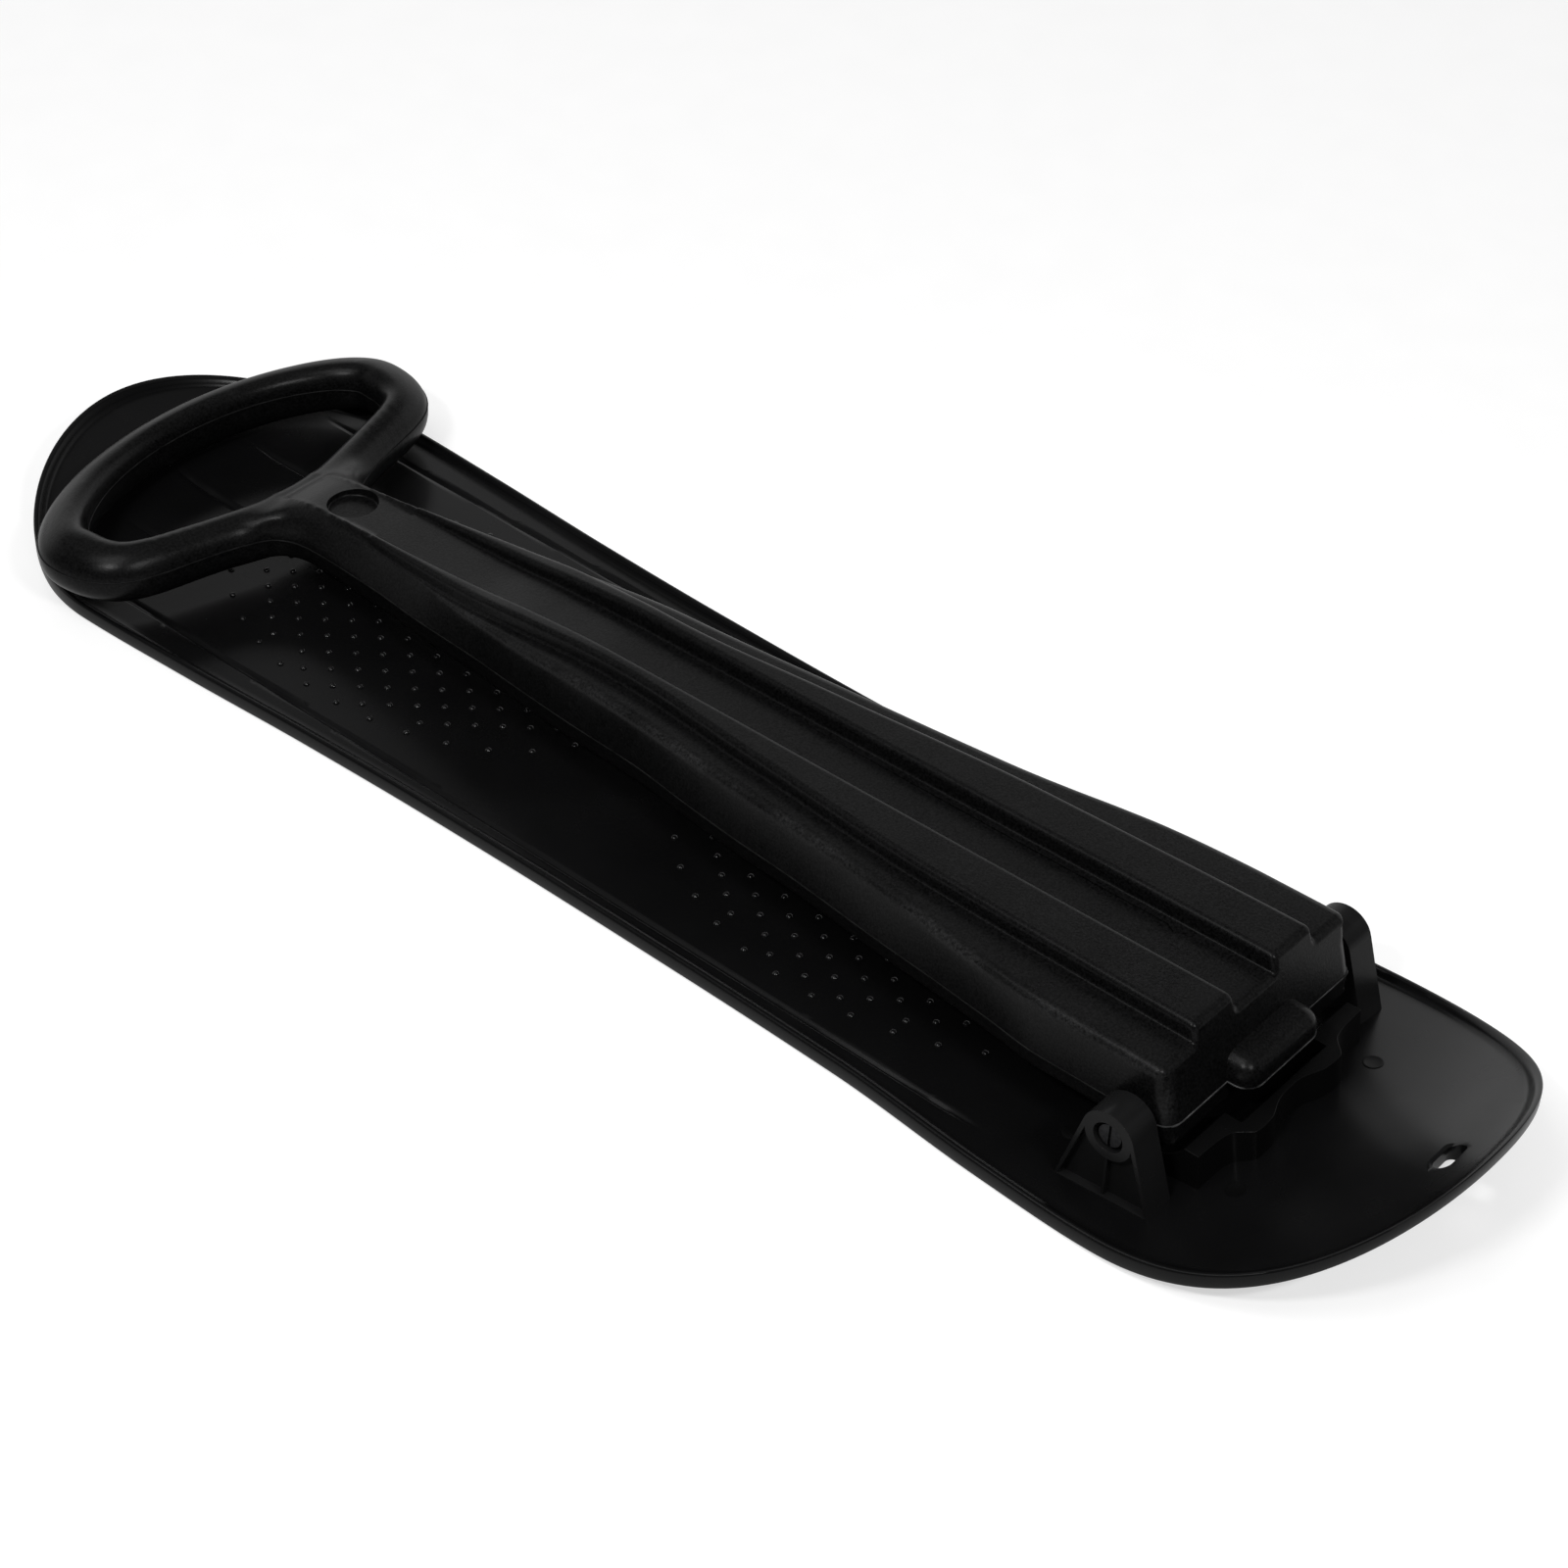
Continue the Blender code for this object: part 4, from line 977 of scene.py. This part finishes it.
# %% Dots
field_half_width, field_half_length = 0.0840, 0.1355
field_places = (0.2082, -0.1289)
dot_row, dot_column, border_step = 0.01145, 0.009405, 0.0233
dot_radius, dot_rise, dot_root = 0.00190, 0.00135, 0.0002
grid_share, rows_each_way, columns_each_way = 0.915, 12, 9
spots = []
for field_y in field_places:
    turns = np.linspace(0, 2 * math.pi, 2000)
    edge = np.stack([field_half_width * np.sin(turns), field_y + field_half_length * np.cos(turns)], 1)
    edge_run = np.concatenate([[0], np.cumsum(np.linalg.norm(np.diff(edge, axis=0), axis=1))])
    count = round(edge_run[-1] / border_step)
    for place in np.linspace(0, edge_run[-1], count, endpoint=False):
        spots.append(tuple(np.interp(place, edge_run, edge[:, i]) for i in (0, 1)))
    for k in range(-rows_each_way, rows_each_way + 1):
        for c in range(-columns_each_way, columns_each_way + 1):
            x, y = c * dot_column, k * dot_row
            inside = (x / field_half_width) ** 2 + (y / field_half_length) ** 2 < grid_share ** 2
            if (c + k) % 2 == 0 and inside:
                spots.append((x, field_y + y))
dome = fresh(bpy.ops.mesh.primitive_uv_sphere_add, segments=12, ring_count=8, radius=dot_radius)
dome.data.transform(Matrix.Diagonal((1, 1, dot_rise / dot_radius, 1)))
edit_all(dome)
bpy.ops.mesh.bisect(plane_co=(0, 0, -dot_root), plane_no=(0, 0, 1), clear_inner=True, use_fill=True)
leave_edit()
print("dots", len(spots))

# %% Dots set out on the deck
domes = []
for x, y in spots:
    dot = plain_copy(dome, "dot")
    dot.data.transform(Matrix.Translation((x, y, deck_height(x, y))))
    domes.append(dot)
bpy.data.objects.remove(dome)
dots = join("tread_dots", domes)
only(dots)
bpy.ops.object.shade_smooth()
report(dots)

# %% [markdown]
# ## Round ejector marks
#
# Pins push the board out of its mould and leave faint round marks before and behind the ears: a disc a
# few tenths of a millimetre high with a slightly sunk middle. It starts as a cylinder, whose top is inset
# and pushed down, and whose edges are bevelled.

# %% Ejector marks
mark_radius, mark_rise, mark_rim, mark_sink, mark_soft = 0.0052, 0.00045, 0.0009, 0.00018, 0.00025
mark_places = ((-0.057, -0.376, 1.0), (0.057, -0.376, 1.0), (-0.071, -0.292, 0.9), (0.071, -0.292, 0.9))
feeler = 0.002
marks = []
for x, y, size in mark_places:
    mark = fresh(bpy.ops.mesh.primitive_cylinder_add,
                 vertices=40, radius=mark_radius * size, depth=2 * mark_rise)
    select_where(mark, "FACE", lambda face: face.normal.z > 0.9)
    bpy.ops.mesh.inset(thickness=mark_rim)
    bpy.ops.transform.translate(value=(0, 0, -mark_sink))
    leave_edit()
    soft = mark.modifiers.new("soft", "BEVEL")
    soft.width = mark_soft
    soft.segments = 2
    apply_modifiers(mark)
    lean_x = math.atan((deck_height(x + feeler, y) - deck_height(x - feeler, y)) / (2 * feeler))
    lean_y = math.atan((deck_height(x, y + feeler) - deck_height(x, y - feeler)) / (2 * feeler))
    turn = Matrix.Rotation(-lean_x, 4, "Y") @ Matrix.Rotation(lean_y, 4, "X")
    mark.data.transform(Matrix.Translation((x, y, deck_height(x, y))) @ turn)
    marks.append(mark)
ejector_marks = join("ejector_marks", marks)
smooth_by_angle(ejector_marks, 50)
report(ejector_marks)

# %% [markdown]
# ## Materials
#
# Both mouldings are black, and differ in their skin. The board came out of a polished mould: it is
# glossy, with a very slight waviness, and its dots are glossier still. Its ears are painted paler than the
# platform between them, as painted light on the ears and painted shade on the platform. The handle's mould
# was blasted: its skin has a fine grain and a broad sheen, with frosted wear and painted highlights along
# its shoulders and at the foot's corners. The mould line is painted palest on the foot's end, as a painted
# highlight. The bolts are dark zinc. Every pattern is worked out from the object's own coordinates, at its
# real scale.

# %% Material helpers
def new_material(name, colour, roughness, metallic=0.0, specular=0.5):
    """A Principled material and the parts that the patterns are plugged into."""
    material = bpy.data.materials.new(name)
    material.use_nodes = True
    tree = material.node_tree
    shader = tree.nodes["Principled BSDF"]
    shader.inputs["Base Color"].default_value = (*colour, 1)
    shader.inputs["Roughness"].default_value = roughness
    shader.inputs["Metallic"].default_value = metallic
    shader.inputs["Specular IOR Level"].default_value = specular
    return material, tree, shader


def link(output, socket):
    output.id_data.links.new(output, socket)


def own_place(tree):
    """The object's own coordinates, from one node in each material."""
    node = tree.nodes.get("Texture Coordinate") or tree.nodes.new("ShaderNodeTexCoord")
    return node.outputs["Object"]


def part_of(tree, vector, axis):
    """One coordinate of a vector."""
    parts = tree.nodes.new("ShaderNodeSeparateXYZ")
    link(vector, parts.inputs["Vector"])
    return parts.outputs[axis]


def calculate(tree, operation, *values):
    """A sum or product of numbers and of what other nodes give."""
    node = tree.nodes.new("ShaderNodeMath")
    node.operation = operation
    for socket, value in zip(node.inputs, values):
        if isinstance(value, bpy.types.NodeSocket):
            link(value, socket)
        else:
            socket.default_value = value
    return node.outputs[0]


def noise(tree, scale, detail=3.0, rough=0.5):
    """Noise on the object's own coordinates; scale is in waves per metre."""
    texture = tree.nodes.new("ShaderNodeTexNoise")
    texture.inputs["Scale"].default_value = scale
    texture.inputs["Detail"].default_value = detail
    texture.inputs["Roughness"].default_value = rough
    link(own_place(tree), texture.inputs["Vector"])
    return texture.outputs["Fac"]


def spread(tree, value, low, high, from_low=0.3, from_high=0.7, curve="LINEAR"):
    """Maps a pattern onto a range of values."""
    ranged = tree.nodes.new("ShaderNodeMapRange")
    ranged.interpolation_type = curve
    limits = {"From Min": from_low, "From Max": from_high, "To Min": low, "To Max": high}
    for socket, number in limits.items():
        ranged.inputs[socket].default_value = number
    link(value, ranged.inputs["Value"])
    return ranged.outputs["Result"]


def tint(tree, shader, value, dark, light):
    """Colour between two shades by a pattern; the dark one may be None, for the colour so far."""
    mix = tree.nodes.new("ShaderNodeMix")
    mix.data_type = "RGBA"
    if dark:
        mix.inputs["A"].default_value = (*dark, 1)
    else:
        link(shader.inputs["Base Color"].links[0].from_socket, mix.inputs["A"])
    mix.inputs["B"].default_value = (*light, 1)
    link(value, mix.inputs["Factor"])
    link(mix.outputs["Result"], shader.inputs["Base Color"])


def mottle(tree, shader, scale, dark, light):
    """Soft clouds between two shades."""
    tint(tree, shader, spread(tree, noise(tree, scale), 0, 1), dark, light)


def bumps(tree, shader, patterns):
    """Stacks bump patterns, each given with its height in metres and its strength."""
    normal = None
    for value, height, strength in patterns:
        bump_node = tree.nodes.new("ShaderNodeBump")
        bump_node.inputs["Distance"].default_value = height
        bump_node.inputs["Strength"].default_value = strength
        link(value, bump_node.inputs["Height"])
        if normal:
            link(normal, bump_node.inputs["Normal"])
        normal = bump_node.outputs["Normal"]
    link(normal, shader.inputs["Normal"])


# %% Glossy black of the board
board_black, tree, shader = new_material("board_black", (0.004, 0.004, 0.0042), 0.20, specular=0.16)
mottle(tree, shader, 14, (0.0026, 0.0026, 0.0027), (0.0040, 0.0040, 0.0042))
cloudy = spread(tree, noise(tree, 22, 4), 0.22, 0.29)
link(cloudy, shader.inputs["Roughness"])
bumps(tree, shader, [(noise(tree, 18, 1), 0.0010, 0.05), (noise(tree, 1400, 2), 0.00003, 0.08)])

# %% Dots rubbed shiny by boots
dot_black, tree, shader = new_material("dot_black", (0.005, 0.005, 0.0052), 0.17, specular=0.30)
mottle(tree, shader, 200, (0.0040, 0.0040, 0.0042), (0.0065, 0.0065, 0.0067))
link(spread(tree, noise(tree, 250, 3), 0.13, 0.22), shader.inputs["Roughness"])
bumps(tree, shader, [(noise(tree, 900, 2), 0.00004, 0.2)])

# %% Duller black of the ears and the platform, with painted light on the ears and painted shade on the platform
block_black, tree, shader = new_material("block_black", (0.006, 0.006, 0.006), 0.26, specular=0.09)
aside = calculate(tree, "ABSOLUTE", part_of(tree, own_place(tree), "X"))
# Painted light and shade: the upright ears are painted paler, the platform between them darker. The clouds
# within are the plastic's own uneven tone.
on_ears = spread(tree, aside, 0.30, 1.0, 0.070, 0.078)
ears_lit_platform_shaded = calculate(tree, "MULTIPLY", on_ears, spread(tree, noise(tree, 30, 4), 0.7, 1.0))
tint(tree, shader, ears_lit_platform_shaded, (0.0010, 0.0010, 0.0010), (0.0100, 0.0100, 0.0102))
link(spread(tree, noise(tree, 40, 4), 0.20, 0.30), shader.inputs["Roughness"])
bumps(tree, shader, [(noise(tree, 40, 2), 0.0006, 0.05), (noise(tree, 1200, 2), 0.00004, 0.15)])

# %% Satin black of the handle
handle_black, tree, shader = new_material("handle_black", (0.005, 0.005, 0.0052), 0.38, specular=0.11)
speckled = spread(tree, noise(tree, 800, 3, 0.7), 0, 1, 0.35, 0.68)
tint(tree, shader, speckled, (0.0002, 0.0002, 0.0002), (0.0078, 0.0078, 0.0080))
cloudy = spread(tree, noise(tree, 35, 5), 0.27, 0.35)
link(cloudy, shader.inputs["Roughness"])
bumps(tree, shader, [(noise(tree, 45, 2), 0.0006, 0.06), (noise(tree, 700, 3, 0.6), 0.00020, 0.40)])

# %% Frosted scuffs and painted highlights on top of it
wear_and_highlight_node = tree.nodes.new("ShaderNodeAttribute")
wear_and_highlight_node.attribute_name = "scuff_and_highlight"
patches = spread(tree, noise(tree, 38, 4), 0.25, 1.0, 0.38, 0.60)
grains = spread(tree, noise(tree, 620, 6, 0.85), 0, 1, 0.42, 0.60)
flecks = calculate(tree, "MULTIPLY", patches, grains)
frost_and_highlight = calculate(tree, "MULTIPLY", wear_and_highlight_node.outputs["Fac"], flecks)
# Paler where the attribute says: frosted wear, and painted highlights along the shoulders and on the
# foot's corners.
tint(tree, shader, frost_and_highlight, None, (0.027, 0.027, 0.0275))

# %% Mould line, painted paler towards the foot's end as a painted highlight
seam_black, tree, shader = new_material("seam_black", (0.02, 0.02, 0.02), 0.40, specular=0.05)
highlight_towards_foot = spread(tree, part_of(tree, own_place(tree), "Y"), 1.0, 0.12, -0.346, -0.320)
# The pale tone near the foot's end is a painted highlight on the thin ridge; elsewhere the line stays
# dark.
painted_seam_highlight = calculate(tree, "MULTIPLY", spread(tree, noise(tree, 120, 4), 0, 1), highlight_towards_foot)
tint(tree, shader, painted_seam_highlight, (0.003, 0.003, 0.003), (0.085, 0.085, 0.086))
bumps(tree, shader, [(noise(tree, 700, 3), 0.0002, 0.5)])

# %% Metals and nylon of the pivot
def grained(name, roughness, metallic, colours, clouds, grain, height):
    """A finish of three close shades (mean, dark, light) with clouds and a fine grain."""
    material, tree, shader = new_material(name, colours[0], roughness, metallic)
    mottle(tree, shader, clouds, *colours[1:])
    bumps(tree, shader, [(noise(tree, grain, 2), height, 0.3)])
    return material


zinc_shades = ((0.018, 0.018, 0.019), (0.012, 0.012, 0.013), (0.026, 0.026, 0.027))
nylon_shades = ((0.030, 0.030, 0.032), (0.024, 0.024, 0.026), (0.036, 0.036, 0.038))
brass_shades = ((0.65, 0.48, 0.22), (0.55, 0.40, 0.17), (0.70, 0.53, 0.26))
zinc = grained("zinc_steel", 0.24, 1.0, zinc_shades, 500, 2500, 0.00003)
nylon = grained("bush_nylon", 0.5, 0.0, nylon_shades, 400, 1500, 0.00004)
brass = grained("insert_brass", 0.35, 1.0, brass_shades, 300, 2000, 0.00003)

# %% Give each piece its material, its slot and its body
def dress(piece, material):
    piece.data.materials.clear()
    piece.data.materials.append(material)
    for face in piece.data.polygons:
        face.material_index = 0


on_board = ((board, board_black), (block, block_black), (dots, dot_black), (ejector_marks, block_black))
for piece, finish in on_board:
    dress(piece, finish)
    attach(piece, "board")
for piece, finish in ((handle, handle_black), (seam, seam_black)):
    dress(piece, finish)
    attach(piece, "handle")
for name, node in nodes.items():
    kind = name.rsplit("_", 1)[0]
    finish = {"pivot_bolt": zinc, "washer": zinc, "pivot_bush": nylon, "threaded_insert": brass}.get(kind)
    if finish:
        dress(node, finish)

# %% [markdown]
# ## Floor
#
# The photograph has a pure white ground. The floor is pale paper, and what the camera sees of it, itself
# or through something clear, has some light of its own added, so that it is white and still takes the
# object's shadow. What mirrors the paper sees less of that light, so black plastic stays black beside it.

# %% Floor
floor_size, floor_gap = 30, 0.0005
floor = fresh(bpy.ops.mesh.primitive_plane_add, size=floor_size, location=(0, 0, 0))
floor.name = "floor"
floor.data.transform(Matrix.Translation((0, 0, cad_box[0].z - floor_gap)))
paper, tree, shader = new_material("white_paper", (0.50, 0.50, 0.50), 0.9, specular=0.0)
clouds = spread(tree, noise(tree, 30, 4), 0, 1)
tint(tree, shader, clouds, (0.49, 0.49, 0.49), (0.51, 0.51, 0.51))
glow = tree.nodes.new("ShaderNodeEmission")
rays = tree.nodes.new("ShaderNodeLightPath")
strength = 0.0
for kind, share in (("Is Camera Ray", 0.60), ("Is Transmission Ray", 0.60), ("Is Glossy Ray", 0.25)):
    strength = calculate(tree, "MULTIPLY_ADD", rays.outputs[kind], share, strength)
link(strength, glow.inputs["Strength"])
both = tree.nodes.new("ShaderNodeAddShader")
link(shader.outputs["BSDF"], both.inputs[0])
link(glow.outputs["Emission"], both.inputs[1])
link(both.outputs["Shader"], tree.nodes["Material Output"].inputs["Surface"])
dress(floor, paper)

# %% [markdown]
# ## The room
#
# Black plastic mirrors the room, and its shape shows only if parts of the room are dark. On the side away
# from the camera a white wall reaches about 36 degrees above the horizon. Above it the room is dim, and
# higher still is a pale ceiling.

# %% World
world = bpy.data.worlds.new("studio")
bpy.context.scene.world = world
world.use_nodes = True
tree = world.node_tree
background = tree.nodes["Background"]
direction = tree.nodes.new("ShaderNodeTexCoord").outputs["Generated"]
up = part_of(tree, direction, "Z")
away = tree.nodes.new("ShaderNodeVectorMath")
away.operation = "DOT_PRODUCT"
away.inputs[1].default_value = (0.77, 0.64, 0.0)
link(direction, away.inputs[0])
round_the_room = spread(tree, away.outputs["Value"], 0.10, 1.0, -0.10, 0.50, "SMOOTHSTEP")
below_edge = spread(tree, up, 1.1, 0.035, 0.548, 0.640, "SMOOTHSTEP")
ceiling = spread(tree, up, 0.0, 0.37, 0.76, 0.84, "SMOOTHSTEP")
white_wall = calculate(tree, "MULTIPLY", round_the_room, below_edge)
background.inputs["Color"].default_value = (1, 1, 1, 1)
link(calculate(tree, "ADD", white_wall, ceiling), background.inputs["Strength"])

# %% [markdown]
# ## Lamps
#
# A large soft lamp hangs overhead, on the camera's side. Two small ones, to the camera's left and in
# front of the nose, put narrow bright lines on the rounded edges.

# %% Lamps
def softbox(name, place, target, width, height, watts):
    """A rectangular lamp that faces a point."""
    lamp = fresh(bpy.ops.object.light_add, type="AREA", location=place)
    lamp.name = name
    lamp.data.shape = "RECTANGLE"
    lamp.data.size = width
    lamp.data.size_y = height
    lamp.data.energy = watts
    lamp.rotation_euler = (Vector(target) - Vector(place)).to_track_quat("-Z", "Y").to_euler()


softbox("lamp_overhead", (-0.80, 0.22, 2.10), (0, 0, 0), 1.00, 1.00, 12)
softbox("lamp_left", (-1.45, -0.25, 1.80), (0, -0.1, 0), 0.40, 0.15, 17)
softbox("lamp_front", (-0.50, -1.65, 1.80), (0, -0.1, 0), 0.40, 0.15, 17)

# %% Colours straight from the shaders
bpy.context.scene.view_settings.view_transform = "Standard"

# %% Size of the solid, and the end
print("solid box", [tuple(round(c, 4) for c in corner) for corner in cad_box])
